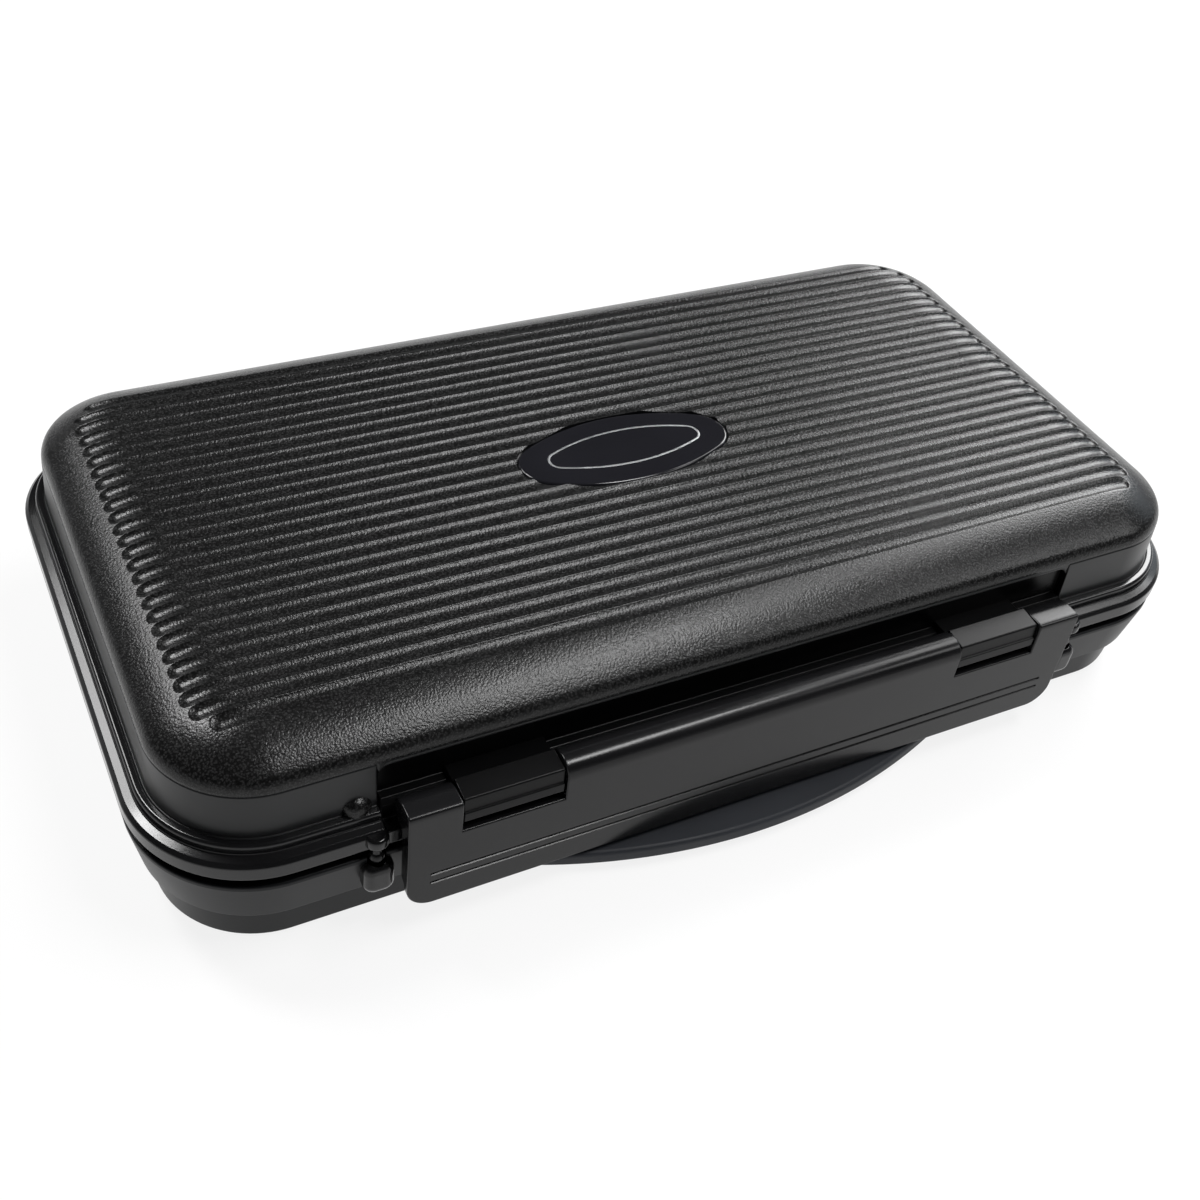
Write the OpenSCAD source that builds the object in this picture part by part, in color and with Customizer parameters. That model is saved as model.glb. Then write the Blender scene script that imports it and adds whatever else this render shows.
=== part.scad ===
// Flat clamshell tackle case: a shallow base and a domed, fluted lid that meet at a sealed rim.
// A full-width latch hangs on the front of the lid, and a bow handle slides out from under the base.
// Frame: origin at the centre of the underside, +X to the right seen from the front, -Y to the front, +Z up.
// "Out" and "offset" are measured outward from the outline of the lid's dome edge.

/* [Case] */
// Width across the edge of the dome
case_w = 260; // [250:1:290]
// Depth across the edge of the dome
case_d = 136; // [130:1:160]
// Corner radius of the dome edge, seen from above
corner_r = 22; // [20.5:0.5:26]

/* [Base] */
// Height of the base up to its rim
base_h = 22.8; // [21:0.1:28]
// Thickness of the tub floor
floor_t = 2.1; // [1.8:0.1:2.6]
// Thickness of the plinth wall under the floor
plinth_wall = 2.4; // [2:0.1:3]
// How far the plinth stands out at the table
plinth_out = 1.1; // [0.6:0.1:1.6]
// How far the plinth widens from the table up to its step
plinth_flare = 0.7; // [0.3:0.1:1]
// How far the skirt stands out just above the step
skirt_out = 3.4; // [3:0.1:4]
// How far the base rim stands out
rim_out = 5.5; // [5:0.1:6]
// Radius of the plinth's lower edge
foot_r = 2.5; // [1.5:0.1:3]
// Height of the skirt's step above the tub floor
step_rise = 1.5; // [1.2:0.1:2.5]
// Width of the sealing tongue on the base
tongue_w = 1.8; // [1.4:0.1:2.2]
// Height of the gap between the two rims
seam_gap = 3.7; // [3:0.1:4.5]

/* [Lid] */
// Height of the lid's stepped rim
lid_rim_h = 7.8; // [7.4:0.1:9]
// Height of the smooth band above the rim
band_h = 9.9; // [9.2:0.1:14]
// How much wider the band is at its foot
band_flare = 0.65; // [0.3:0.05:0.9]
// Rise of the dome above the band
dome_rise = 7; // [6:0.1:8]
// Width of the dome's rounded shoulder
shoulder_w = 18.6; // [16:0.1:20]
// Radius of the dome's outer edge
edge_r = 4; // [3.4:0.1:5]
// Wall thickness of the lid
lid_wall = 2.4; // [2.2:0.1:2.8]
// How far the outer bead of the lid's rim stands out
lid_rim_out = 5.8; // [5.4:0.1:6.2]
// How far the inner bead of the lid's rim stands out
bead_out = 3; // [2.4:0.1:3.4]

/* [Flutes] */
// Number of flutes across the lid
flute_count = 27; // [19:2:29]
// Distance from flute to flute
flute_pitch = 4.2; // [3.9:0.1:4.3]
// Width of a flute at the surface
flute_w = 3.6; // [2.8:0.1:3.7]
// Depth of a flute
flute_depth = 0.7; // [0.4:0.05:0.9]

/* [Badge] */
// Length of the oval badge
badge_l = 57; // [44:1:66]
// Width of the oval badge
badge_w = 26; // [20:1:30]
// Radius of the oval's ends
badge_end_r = 8; // [6:0.5:9]
// Depth of the pocket that the badge is set in
badge_pocket = 1.2; // [0.9:0.1:1.4]
// Thickness of the badge plate
badge_t = 0.6; // [0.5:0.1:0.8]

/* [Latch] */
// Width of the latch
latch_w = 172.4; // [164:0.2:180]
// Thickness of the latch panel
latch_t = 2.2; // [1.8:0.1:2.4]
// How far the face of the latch stands in front of the dome edge
latch_out = 10.6; // [10.4:0.1:11.4]
// Radius of the latch's barrels
barrel_r = 4.2; // [3.8:0.1:4.2]
// Radius of the rod that the latch turns on
rod_r = 1.25; // [1:0.05:1.5]
// Distance of the two notches from the middle of the latch
notch_x = 62.7; // [56:0.1:64]
// Width of a notch
notch_w = 23.2; // [18:0.1:24]
// Radius of the latch's lower corners
latch_corner_r = 6; // [3:0.5:8]

/* [Rear hinges] */
// Distance of each hinge from the middle of the case
hinge_x = 62.5; // [50:0.5:80]
// Length of each hinge
hinge_l = 36; // [30:0.5:44]
// Length of the lid's knuckle in the middle of each hinge
lid_knuckle_l = 17.4; // [14:0.1:20]
// Radius of the hinge knuckles
knuckle_r = 3.2; // [2.8:0.1:3.3]
// Radius of the hinge pins
pin_r = 1.25; // [1:0.05:1.5]

/* [Handle] */
// Width of the handle over its two arms
handle_w = 132; // [120:1:136]
// Width of each arm
arm_w = 13; // [10:0.5:15]
// Thickness of the handle
handle_t = 4; // [3.5:0.1:4.5]
// Radius of the handle's bowed front edge
bow_r = 147; // [140:1:180]
// How far the bow stands in front of the dome edge
bow_out = 17.4; // [16.5:0.1:19]
// Travel of the handle
handle_slide = 26; // [20:1:28]
// Thickness of the bottom cover
cover_t = 2; // [1.6:0.1:2.4]

/* [Inside] */
// Thickness of the tray's walls
tray_wall = 1.4; // [1.2:0.1:1.8]
// Thickness of a loose divider
divider_t = 1.2; // [1:0.1:1.6]
// Distance from one divider slot to the next
slot_pitch = 33; // [31:0.5:34]
// Thickness of the foam board in the lid
foam_t = 10.8; // [8:0.2:12]

/* [Hidden] */
$fn = 96;

// Clearances
fit = 0.05;     // a pin or rod in its bore
gap = 0.3;      // parts that pass or face each other
play = 0.4;     // handle to the bottom cover
over = 1;       // how far a cut runs past a face

// Heights
handle_z = cover_t + play;
bay_top = handle_z + handle_t + play + 0.1;
floor_z = bay_top + floor_t;
step_z = floor_z + step_rise;
lid_z = base_h + seam_gap;
band_z = lid_z + lid_rim_h;
edge_z = band_z + band_h;
top_z = edge_z + dome_rise;
ceiling_z = top_z - lid_wall;
tongue_z = lid_z - gap;

// Plan
half_w = case_w / 2;
half_d = case_d / 2;
side_w = case_w - 2 * corner_r;
side_d = case_d - 2 * corner_r;
plinth_top_out = plinth_out + plinth_flare;
plinth_in = plinth_out - plinth_wall;
tub_r = 3;                              // fillet between the tub's wall and floor
tub_wall = 1.4;                         // wall of the tub at the step
tub_lean = 1.1;                         // how far the tub's wall leans out up to the tongue
tub_out = plinth_top_out - tub_wall;    // inside of the tub's wall above that fillet
tongue_in = tub_out + tub_lean;
tongue_out = tongue_in + tongue_w;
rim_edge_r = 1;                         // rounded upper edge of the base rim
step_edge = 0.6;                        // chamfer under the skirt

// Dome: a large arc that leaves the flat top and runs into the small arc of the edge
dome_r = (pow(shoulder_w - edge_r, 2) + dome_rise * dome_rise - edge_r * edge_r) / (2 * (dome_rise - edge_r));
dome_z = top_z - dome_r;
dome_a = atan2(edge_z - dome_z, shoulder_w - edge_r);
flute_r = (pow(flute_w / 2, 2) + flute_depth * flute_depth) / (2 * flute_depth);

// Ring on the badge, set in from the badge's tips and sides
ring_tip = 8;
ring_side = 6.5;
ring_end_r = 3;
ring_line = 0.5;
ring_rise = 0.15;

// Beads of the lid's rim: the inner one under the band, and the outer one at the seam
bead_r = 1.3;
bead_z = band_z - 2.9;
lid_rim_r = 1.5;
lid_rim_z = lid_z + 1.9;

// Seal
groove_h = 1.5;
gasket_in = tongue_in - 0.1;
gasket_out = tongue_out + 0.1;

// Latch
latch_y = -(half_d + latch_out);
axis_y = latch_y + barrel_r;
axis_z = lid_z + 7.5;
latch_z = handle_z + handle_t + 1.2;
recess_half = latch_w / 2 + 2.7;
recess_y = -(half_d - 1.4);             // back wall of the recess
recess_top = edge_z - 1.2;
ledge_z = axis_z - barrel_r - 0.5;
flange_y = axis_y + barrel_r + gap;     // face of the rim behind the latch barrels
recess_corner_r = 3;                    // upper corners of the recess
flange_chamfer = 1.1;
block_half = 3.7;                       // half the height of the lid's latch blocks
block_round = 1.2;                      // radius of a block's lower front edge
block_ridge = 2.4;                      // a block's upper ridge lies this far behind the axis
block_nose = 0.5;                       // and its front ridge this far above it
block_groove = 0.5;
block_w = notch_w - 2 * gap;
block_foot = 3;                         // height of a block's foot on the ledge
block_foot_y = axis_y - 1.5;
recess_wall = 2.2;                      // wall behind the recess
hook_z = 15.5;
hook_h = 3;
hook_y = -(half_d + rim_out + play);
hook_inset = 12;                        // from the latch's side to the hook's end
hook_edge = 1;                          // slant under the hook's tip
lip_w = 1.6;                            // thickness of the side returns and of the lower lip
return_deep = 1.6;
lip_deep = 1.2;
finger_inset = 5;                       // finger grooves across the face
finger_z = latch_z + 6.75;
finger_step = 2.8;
finger_w = 0.7;
finger_deep = 0.4;
rod_cap = 3.2;                          // wall that closes the rod's bore at the left end
rod_spare = 0.8;                        // what the rod is shorter than its bore

// Snap studs at the front, beside the latch
stud_x = recess_half + 2.1;
stud_y = -(half_d + rim_out - 0.2);
ball_r = 1.7;
stud_r = 1.1;
stud_hold = 2.4;                        // depth of a stud in its ear
ear_r = 3;
ear_h = 3.4;
bump_x = stud_x + 2.5;                  // round bump of the lid at each end of the recess
bump_r = 3.2;
bump_h = 5.8;
lug_half = 3.75;
lug_h = 9;
lug_root = 3;                           // a lug starts this far out, inside the skirt
lug_out = 2.8;                          // and stands this far in front of the rim
ball_z = base_h - 0.2;
lug_top = base_h - 1.3;
socket_deep = 5.5;

// Rear hinges
hinge_back = 4.3;                       // from the base rim to the pins
hinge_y = half_d + rim_out + hinge_back;
hinge_z = base_h + seam_gap / 2;
pin_inset = 0.5;
gusset_h = 8.6;                         // height of a base gusset on the skirt
gusset_y = half_d + skirt_out + 0.4;
lid_gusset_y = half_d + lid_rim_out - lid_rim_r;

// Handle
arm_out = handle_w / 2;
grip_y = -(half_d - 0.5);               // inner edge of the grip
arm_end = -6;
rib_t = 1.6;
tab_l = 6;
tab_w = 3;
rib_front = -(half_d - 2);
rib_rear = arm_end - tab_l - handle_slide - gap;

// Bottom cover and its screws
cover_out = plinth_in - gap;
screw_r = 1.3;
screw_head_r = 3;
screw_head_h = 1.2;
screw_len = bay_top - 1;
boss_wall = 2.4;
screw_places = [[-105, -45], [105, -45], [-105, 45], [105, 45], [-35, 30], [35, 30]];

// Tray
tray_floor = 1.5;
tray_z = tongue_z - 1.2;
tray_base_z = floor_z + tray_floor;
tray_foot = tub_out - tub_r - 0.2;      // offset of the tray's foot, inside the tub's fillet
knee_z = floor_z + tub_r;               // above its knee the tray's wall follows the tub's
knee_in_z = knee_z + 0.9;
mid_wall_z = tray_z - 0.5;
divider_z = tray_z - 0.7;
notch_r = 13;                           // thumb notch in a divider
notch_up = 9;                           // and the height of its centre over the divider
function tub_in(z) = tub_out + (tongue_in - tub_out) * (z - knee_z) / (tongue_z + over - knee_z);
function tray_out(z) = tub_in(z) - play;
function tray_in(z) = tray_out(z) - tray_wall;
slots = [-3 : 3];
divider_slots = [-2, 0, 2];

// Foam board
slit_rows = 3;                          // slits on either side of the middle one
slit_pitch = 12;
slit_w = 0.8;
slit_deep = 4;
slit_inset = 26;                        // from the dome edge to a slit's end

// ---------- shared shapes ----------

// Carries a section, drawn as [offset, height], once round the case outline.
module around_case() {
    for (i = [0 : 3]) {
        sx = i == 0 || i == 3 ? 1 : -1;
        sy = i < 2 ? 1 : -1;
        translate([sx * side_w / 2, sy * side_d / 2, 0])
            rotate([0, 0, 90 * i])
                rotate_extrude(angle = 90)
                    translate([corner_r, 0])
                        children();
        reach = i % 2 == 0 ? half_w : half_d;
        run = i % 2 == 0 ? side_d : side_w;
        rotate([0, 0, 90 * i - 90])
            translate([-run / 2, reach, 0])
                rotate([90, 0, 90])
                    linear_extrude(run)
                        children();
    }
}

// A plate that fills the inside of the case outline, less an inset.
module plate(inset, z0, z1) {
    r = corner_r - inset;
    for (size = [[side_w, case_d - 2 * inset], [case_w - 2 * inset, side_d]])
        translate([-size[0] / 2, -size[1] / 2, z0])
            cube([size[0], size[1], z1 - z0]);
    for (sx = [-1, 1], sy = [-1, 1])
        translate([sx * side_w / 2, sy * side_d / 2, z0])
            cylinder(r = r, h = z1 - z0);
}

// Carries a section, drawn as [y, z], along X.
module along_x(x0, x1) {
    translate([x0, 0, 0])
        rotate([90, 0, 90])
            linear_extrude(x1 - x0)
                children();
}

// A box between two corners.
module box(a, b) {
    translate(a)
        cube(b - a);
}

// An oval of four arcs.
module oval(l, w, end_r) {
    a = l / 2;
    b = w / 2;
    big_r = (pow(a - end_r, 2) + b * b - end_r * end_r) / (2 * (b - end_r));
    meet_x = (a - end_r) * big_r / (big_r - end_r);
    intersection() {
        translate([0, b - big_r])
            circle(big_r);
        translate([0, big_r - b])
            circle(big_r);
        square([2 * meet_x, w + 2], center = true);
    }
    for (s = [-1, 1])
        translate([s * (a - end_r), 0])
            circle(end_r);
}

// ---------- base ----------

// The base wall, plinth, skirt and tongue as one section.
module base_section() {
    core = -(tub_r + 4);
    difference() {
        union() {
            polygon([[core, 0], [plinth_out - foot_r, 0], [plinth_out, foot_r],
                     [plinth_top_out, step_z], [core, step_z]]);
            translate([plinth_out - foot_r, foot_r])
                circle(foot_r);
            polygon([[core, step_z], [skirt_out - step_edge, step_z], [skirt_out, step_z + step_edge],
                     [rim_out, base_h - rim_edge_r], [rim_out - rim_edge_r, base_h], [core, base_h]]);
            translate([rim_out - rim_edge_r, base_h - rim_edge_r])
                circle(rim_edge_r);
            translate([tongue_in, base_h - over])
                square([tongue_w, tongue_z - base_h + over]);
        }
        // Inside of the tub
        polygon([[core - over, floor_z], [tub_out - tub_r, floor_z], [tub_out, knee_z],
                 [tongue_in, tongue_z + over], [core - over, tongue_z + over]]);
        translate([tub_out - tub_r, knee_z])
            circle(tub_r);
        // Handle bay under the floor
        translate([core - over, -over])
            square([plinth_in - core + over, bay_top + over]);
    }
}

// A rear hinge knuckle of the base with its gusset.
module base_knuckle(x0, x1) {
    along_x(x0, x1) {
        translate([hinge_y, hinge_z])
            circle(knuckle_r);
        polygon([[gusset_y, base_h - step_edge - gusset_h], [gusset_y, base_h - step_edge],
                 [hinge_y - knuckle_r, hinge_z], [hinge_y, hinge_z + gap],
                 [hinge_y + knuckle_r * cos(-35), hinge_z + knuckle_r * sin(-35)]]);
    }
}

// The two parts of a hinge on either side of the lid's knuckle.
module base_hinge(x) {
    for (s = [-1, 1]) {
        near = x + s * (lid_knuckle_l / 2 + gap);
        far = x + s * hinge_l / 2;
        base_knuckle(min(near, far), max(near, far));
    }
}

// The U-shaped socket lug under a snap stud.
module stud_lug(x) {
    round_z = lug_top - lug_h + lug_half;
    translate([x, -half_d - lug_root, 0])
        rotate([90, 0, 0])
            linear_extrude(rim_out + lug_out - lug_root) {
                translate([-lug_half, round_z])
                    square([2 * lug_half, lug_top - round_z]);
                translate([0, round_z])
                    circle(lug_half);
            }
}

// The ribs that guide one arm of the handle, on the right when side is 1.
module handle_guides(side) {
    mirror([side > 0 ? 0 : 1, 0, 0]) {
        box([arm_out - arm_w - gap - rib_t, rib_front, handle_z],
            [arm_out - arm_w - gap, arm_end, bay_top + over]);
        box([arm_out + gap, rib_front, handle_z], [arm_out + gap + rib_t, rib_rear, bay_top + over]);
    }
}

module base_shell() {
    color("#1c1d1f")
        difference() {
            union() {
                around_case()
                    base_section();
                plate(tub_r + 2, bay_top, floor_z);
                for (s = [-1, 1]) {
                    base_hinge(s * hinge_x);
                    stud_lug(s * stud_x);
                    handle_guides(s);
                }
                for (p = screw_places)
                    translate([p[0], p[1], cover_t])
                        cylinder(r = screw_r + boss_wall, h = bay_top - cover_t + over);
            }
            // Slot that the handle passes through
            box([-arm_out - play, -half_d - 4, cover_t], [arm_out + play, -half_d + 4, bay_top]);
            for (s = [-1, 1]) {
                // Bores for the hinge pins
                translate([s * hinge_x - hinge_l / 2 - over, hinge_y, hinge_z])
                    rotate([0, 90, 0])
                        cylinder(r = pin_r + fit, h = hinge_l + 2 * over);
                // Sockets for the snap studs
                translate([s * stud_x, stud_y, lug_top - socket_deep])
                    cylinder(r = ball_r + play, h = tongue_z - lug_top + socket_deep + over);
            }
            for (p = screw_places)
                translate([p[0], p[1], cover_t - over])
                    cylinder(r = screw_r + fit, h = screw_len - cover_t + over + 0.3);
        }
}

module bottom_cover() {
    color("#232427")
        difference() {
            plate(-cover_out, 0, cover_t);
            for (p = screw_places)
                translate([p[0], p[1], 0])
                    screw_form(0.15, over);
        }
}

// A countersunk screw from below, or the hole that it goes through.
module screw_form(spare, past) {
    rotate_extrude()
        polygon([[0, -past], [screw_head_r + spare, -past], [screw_head_r + spare, 0.4],
                 [screw_r + spare, screw_head_h + 0.4], [screw_r + spare, screw_len],
                 [0, screw_len]]);
}

module cover_screws() {
    color("silver")
        for (p = screw_places)
            translate([p[0], p[1], 0])
                screw_form(0, -0.15);
}

// ---------- lid ----------

// Area under the dome's curve, less a wall thickness.
module dome_area(t, from_x, from_z) {
    meet = (dome_r - t) * cos(dome_a) - shoulder_w;
    translate([from_x, from_z])
        square([-t - from_x, edge_z - from_z]);
    translate([from_x, edge_z - 0.5])
        square([-shoulder_w - from_x, top_z - t - edge_z + 0.5]);
    intersection() {
        translate([-shoulder_w, dome_z])
            circle(dome_r - t);
        translate([-shoulder_w, edge_z - 0.5])
            square([meet + shoulder_w, dome_rise + 1]);
    }
    intersection() {
        translate([-edge_r, edge_z])
            circle(edge_r - t);
        translate([meet, edge_z - 0.5])
            square([edge_r, edge_r + 1]);
    }
}

// The lid's wall from its rim to the flat of its top.
module lid_section() {
    core = -corner_r;
    difference() {
        union() {
            dome_area(0, core, band_z);
            polygon([[-lid_wall, lid_z], [band_flare, lid_z], [band_flare, band_z],
                     [0, edge_z], [-lid_wall, edge_z]]);
            translate([-lid_wall, lid_z])
                square([lid_wall + bead_out, bead_z - lid_z]);
            translate([bead_out - bead_r, bead_z])
                circle(bead_r);
            translate([-lid_wall, lid_z])
                square([lid_wall + lid_rim_out, lid_rim_z - lid_z]);
            translate([lid_rim_out - lid_rim_r, lid_rim_z])
                circle(lid_rim_r);
        }
        dome_area(lid_wall, core - over, lid_z - over);
        // Groove for the gasket
        translate([gasket_in, lid_z - over])
            square([gasket_out - gasket_in, groove_h + over]);
    }
}

// What is cut away for the latch: the recess in the band, and the rim down to its ledge.
module latch_recess() {
    front = -half_d - lid_rim_out - over;
    corner = recess_corner_r;
    translate([0, recess_y, 0])
        rotate([90, 0, 0])
            linear_extrude(recess_y - front) {
                translate([-recess_half, band_z])
                    square([2 * recess_half, recess_top - band_z - corner]);
                translate([-recess_half + corner, band_z])
                    square([2 * (recess_half - corner), recess_top - band_z]);
                for (s = [-1, 1])
                    translate([s * (recess_half - corner), recess_top - corner])
                        circle(corner);
            }
    // The rim's upper edge is chamfered
    along_x(-recess_half, recess_half)
        polygon([[front, ledge_z], [flange_y, ledge_z], [flange_y, band_z - flange_chamfer],
                 [flange_y + flange_chamfer, band_z], [flange_y + flange_chamfer, band_z + 0.1],
                 [front, band_z + 0.1]]);
}

// One of the two blocks that carry the latch rod, with a slanted top and a groove along its face.
module latch_block(x) {
    face_y = axis_y - block_half;
    low_z = axis_z - block_half;
    back_y = recess_y + 0.5;
    along_x(x - block_w / 2, x + block_w / 2)
        difference() {
            union() {
                polygon([[face_y + block_round, low_z], [back_y, low_z], [back_y, axis_z + block_half],
                         [axis_y + block_ridge, axis_z + block_half], [face_y, axis_z + block_nose],
                         [face_y, low_z + block_round]]);
                translate([face_y + block_round, low_z + block_round])
                    circle(block_round);
                // Foot down to the ledge of the rim
                translate([block_foot_y, ledge_z - 0.5])
                    square([flange_y - block_foot_y + over, block_foot]);
            }
            translate([face_y - over, axis_z + block_nose - 2 * block_groove])
                square([over + block_groove, block_groove]);
        }
}

// The lid's knuckle in the middle of a rear hinge.
module lid_hinge(x) {
    along_x(x - lid_knuckle_l / 2, x + lid_knuckle_l / 2) {
        translate([hinge_y, hinge_z])
            circle(knuckle_r);
        polygon([[lid_gusset_y, lid_z + 0.1], [hinge_y - knuckle_r + gap, hinge_z + play],
                 [hinge_y, hinge_z], [hinge_y + knuckle_r * cos(40), hinge_z + knuckle_r * sin(40)],
                 [hinge_y - over, lid_rim_z + 1.1], [lid_gusset_y, lid_rim_z + 1.3]]);
    }
}

module lid_shell() {
    color("#202124")
        difference() {
            union() {
                difference() {
                    union() {
                        around_case()
                            lid_section();
                        box([-side_w / 2, -side_d / 2, ceiling_z], [side_w / 2, side_d / 2, top_z]);
                    }
                    latch_recess();
                    // Flutes, all at one depth, run out where the dome falls away
                    for (i = [-(flute_count - 1) / 2 : (flute_count - 1) / 2])
                        translate([-half_w, i * flute_pitch, top_z - flute_depth + flute_r])
                            rotate([0, 90, 0])
                                cylinder(r = flute_r, h = case_w);
                }
                // Thicker wall behind the recess
                box([-recess_half - recess_wall, recess_y, lid_rim_z],
                    [recess_half + recess_wall, recess_y + recess_wall, edge_z + over]);
                for (s = [-1, 1]) {
                    latch_block(s * notch_x);
                    lid_hinge(s * hinge_x);
                    // Ear that holds a snap stud
                    translate([s * stud_x, 0, lid_z])
                        linear_extrude(ear_h)
                            difference() {
                                translate([0, stud_y])
                                    circle(ear_r);
                                translate([-ear_r - over, -half_d - gasket_out - 0.2])
                                    square([2 * ear_r + 2 * over, 2 * ear_r]);
                            }
                    // Round bump at the end of the recess
                    translate([s * bump_x, -half_d - 0.2, lid_z + 3])
                        cylinder(r = bump_r, h = bump_h);
                }
            }
            // Pocket for the badge
            translate([0, 0, top_z - badge_pocket])
                linear_extrude(badge_pocket + over)
                    oval(badge_l, badge_w, badge_end_r);
            // Bore for the latch rod, through the blocks alone
            translate([-recess_half + 1, axis_y, axis_z])
                rotate([0, 90, 0])
                    cylinder(r = rod_r + fit, h = 2 * recess_half - 2);
            for (s = [-1, 1]) {
                translate([s * hinge_x - hinge_l / 2, hinge_y, hinge_z])
                    rotate([0, 90, 0])
                        cylinder(r = pin_r + fit, h = hinge_l);
                translate([s * stud_x, stud_y, lid_z - over])
                    cylinder(r = stud_r, h = over + stud_hold);
            }
        }
}

module seal_gasket() {
    color("#3a3a3c")
        around_case()
            translate([gasket_in + fit, lid_z])
                square([gasket_out - gasket_in - 2 * fit, groove_h]);
}

module badge_plate() {
    ring = [badge_l - 2 * ring_tip, badge_w - 2 * ring_side];
    z = top_z - badge_pocket;
    color("#101114")
        translate([0, 0, z]) {
            linear_extrude(badge_t)
                oval(badge_l - 2 * fit, badge_w - 2 * fit, badge_end_r - fit);
            // Thin raised ring round the bare middle
            translate([0, 0, badge_t - 0.1])
                linear_extrude(ring_rise + 0.1)
                    difference() {
                        oval(ring[0], ring[1], ring_end_r);
                        oval(ring[0] - 2 * ring_line, ring[1] - 2 * ring_line, ring_end_r - ring_line);
                    }
        }
}

module hook_foam() {
    color("#4a4d52")
        difference() {
            plate(shoulder_w, ceiling_z - foam_t, ceiling_z);
            // Slits that hold the hooks
            for (i = [-slit_rows : slit_rows])
                box([-half_w + slit_inset, i * slit_pitch - slit_w / 2, ceiling_z - foam_t - over],
                    [half_w - slit_inset, i * slit_pitch + slit_w / 2, ceiling_z - foam_t + slit_deep]);
        }
}

module snap_stud(x) {
    color("#26272a")
        translate([x, stud_y, 0]) {
            translate([0, 0, ball_z])
                cylinder(r = stud_r - fit, h = lid_z + stud_hold - ball_z);
            translate([0, 0, ball_z])
                sphere(r = ball_r);
        }
}

module hinge_pin(x) {
    color("silver")
        translate([x - hinge_l / 2 + pin_inset, hinge_y, hinge_z])
            rotate([0, 90, 0])
                cylinder(r = pin_r, h = hinge_l - 2 * pin_inset);
}

// ---------- latch ----------

// Section of the latch over its barrels. A square top makes the flat-topped ends.
module barrel_section(square_top) {
    translate([axis_y, axis_z])
        circle(barrel_r);
    translate([latch_y, latch_z + 8])
        square([latch_t, axis_z - latch_z - 8]);
    if (square_top)
        translate([latch_y, axis_z])
            square([barrel_r, barrel_r]);
}

module front_latch() {
    half = latch_w / 2;
    back_y = latch_y + latch_t;
    notch_in = notch_x - notch_w / 2;
    notch_out = notch_x + notch_w / 2;
    notch_z = axis_z - block_half - 1.7;
    panel_h = notch_z - latch_z;
    color("#17181a")
        difference() {
            union() {
                // Panel with rounded lower corners
                translate([0, latch_y + latch_t, 0])
                    rotate([90, 0, 0])
                        linear_extrude(latch_t) {
                            translate([-half + latch_corner_r, latch_z])
                                square([latch_w - 2 * latch_corner_r, panel_h]);
                            translate([-half, latch_z + latch_corner_r])
                                square([latch_w, panel_h - latch_corner_r]);
                            for (s = [-1, 1])
                                translate([s * (half - latch_corner_r), latch_z + latch_corner_r])
                                    circle(latch_corner_r);
                        }
                along_x(-notch_in, notch_in)
                    barrel_section(false);
                along_x(notch_out, half)
                    barrel_section(true);
                along_x(-half, -notch_out)
                    barrel_section(true);
                // Returns down both sides
                for (s = [-1, 1])
                    box([s > 0 ? half - lip_w : -half, latch_y + latch_t / 2, latch_z + latch_corner_r],
                        [s > 0 ? half : -half + lip_w, back_y + return_deep, axis_z]);
                // Hook that takes hold under the base rim
                along_x(-half + hook_inset, half - hook_inset)
                    polygon([[back_y - 0.5, hook_z - hook_edge], [hook_y - hook_edge / 2, hook_z],
                             [hook_y, hook_z + hook_edge], [hook_y, hook_z + hook_h],
                             [back_y - 0.5, hook_z + hook_h]]);
                // Lip along the lower edge
                box([-half + latch_corner_r, latch_y + latch_t / 2, latch_z],
                    [half - latch_corner_r, back_y + lip_deep, latch_z + lip_w]);
            }
            // Two finger grooves across the face
            for (z = [finger_z, finger_z + finger_step])
                box([-half + finger_inset, latch_y - over, z],
                    [half - finger_inset, latch_y + finger_deep, z + finger_w]);
            // Bore for the rod, closed at the left end
            translate([-half + rod_cap, axis_y, axis_z])
                rotate([0, 90, 0])
                    cylinder(r = rod_r + fit, h = latch_w - rod_cap + over);
        }
}

module latch_rod() {
    color("silver")
        translate([-latch_w / 2 + rod_cap + rod_spare / 4, axis_y, axis_z])
            rotate([0, 90, 0])
                cylinder(r = rod_r, h = latch_w - rod_cap - rod_spare);
}

// ---------- handle ----------

// The grip is a slice of a disc with a rounded rim, and its inner edge is round as well.
module carry_handle() {
    round_r = handle_t / 2;
    arm_in = arm_out - arm_w;
    color("#1a1d24")
        translate([0, 0, handle_z]) {
            intersection() {
                translate([0, -(half_d + bow_out) + bow_r, 0])
                    rotate_extrude($fn = 360) {
                        square([bow_r - round_r, handle_t]);
                        translate([bow_r - round_r, round_r])
                            intersection() {
                                circle(round_r, $fn = 48);
                                translate([0, -round_r])
                                    square(2 * round_r);
                            }
                    }
                box([-arm_out, grip_y - bow_out - 4, -over], [arm_out, grip_y - round_r, handle_t + over]);
            }
            translate([-arm_in - over, grip_y - round_r, round_r])
                rotate([0, 90, 0])
                    cylinder(r = round_r, h = 2 * (arm_in + over));
            linear_extrude(handle_t)
                for (s = [-1, 1]) {
                    // Arm
                    translate([s > 0 ? arm_in : -arm_out, grip_y - round_r - 1])
                        square([arm_w, arm_end - grip_y + round_r + 1]);
                    // Stop at the end of the arm
                    translate([s > 0 ? arm_out - 1 : -arm_out - tab_w, arm_end - tab_l])
                        square([tab_w + 1, tab_l]);
                }
        }
}

// ---------- inside ----------

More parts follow.
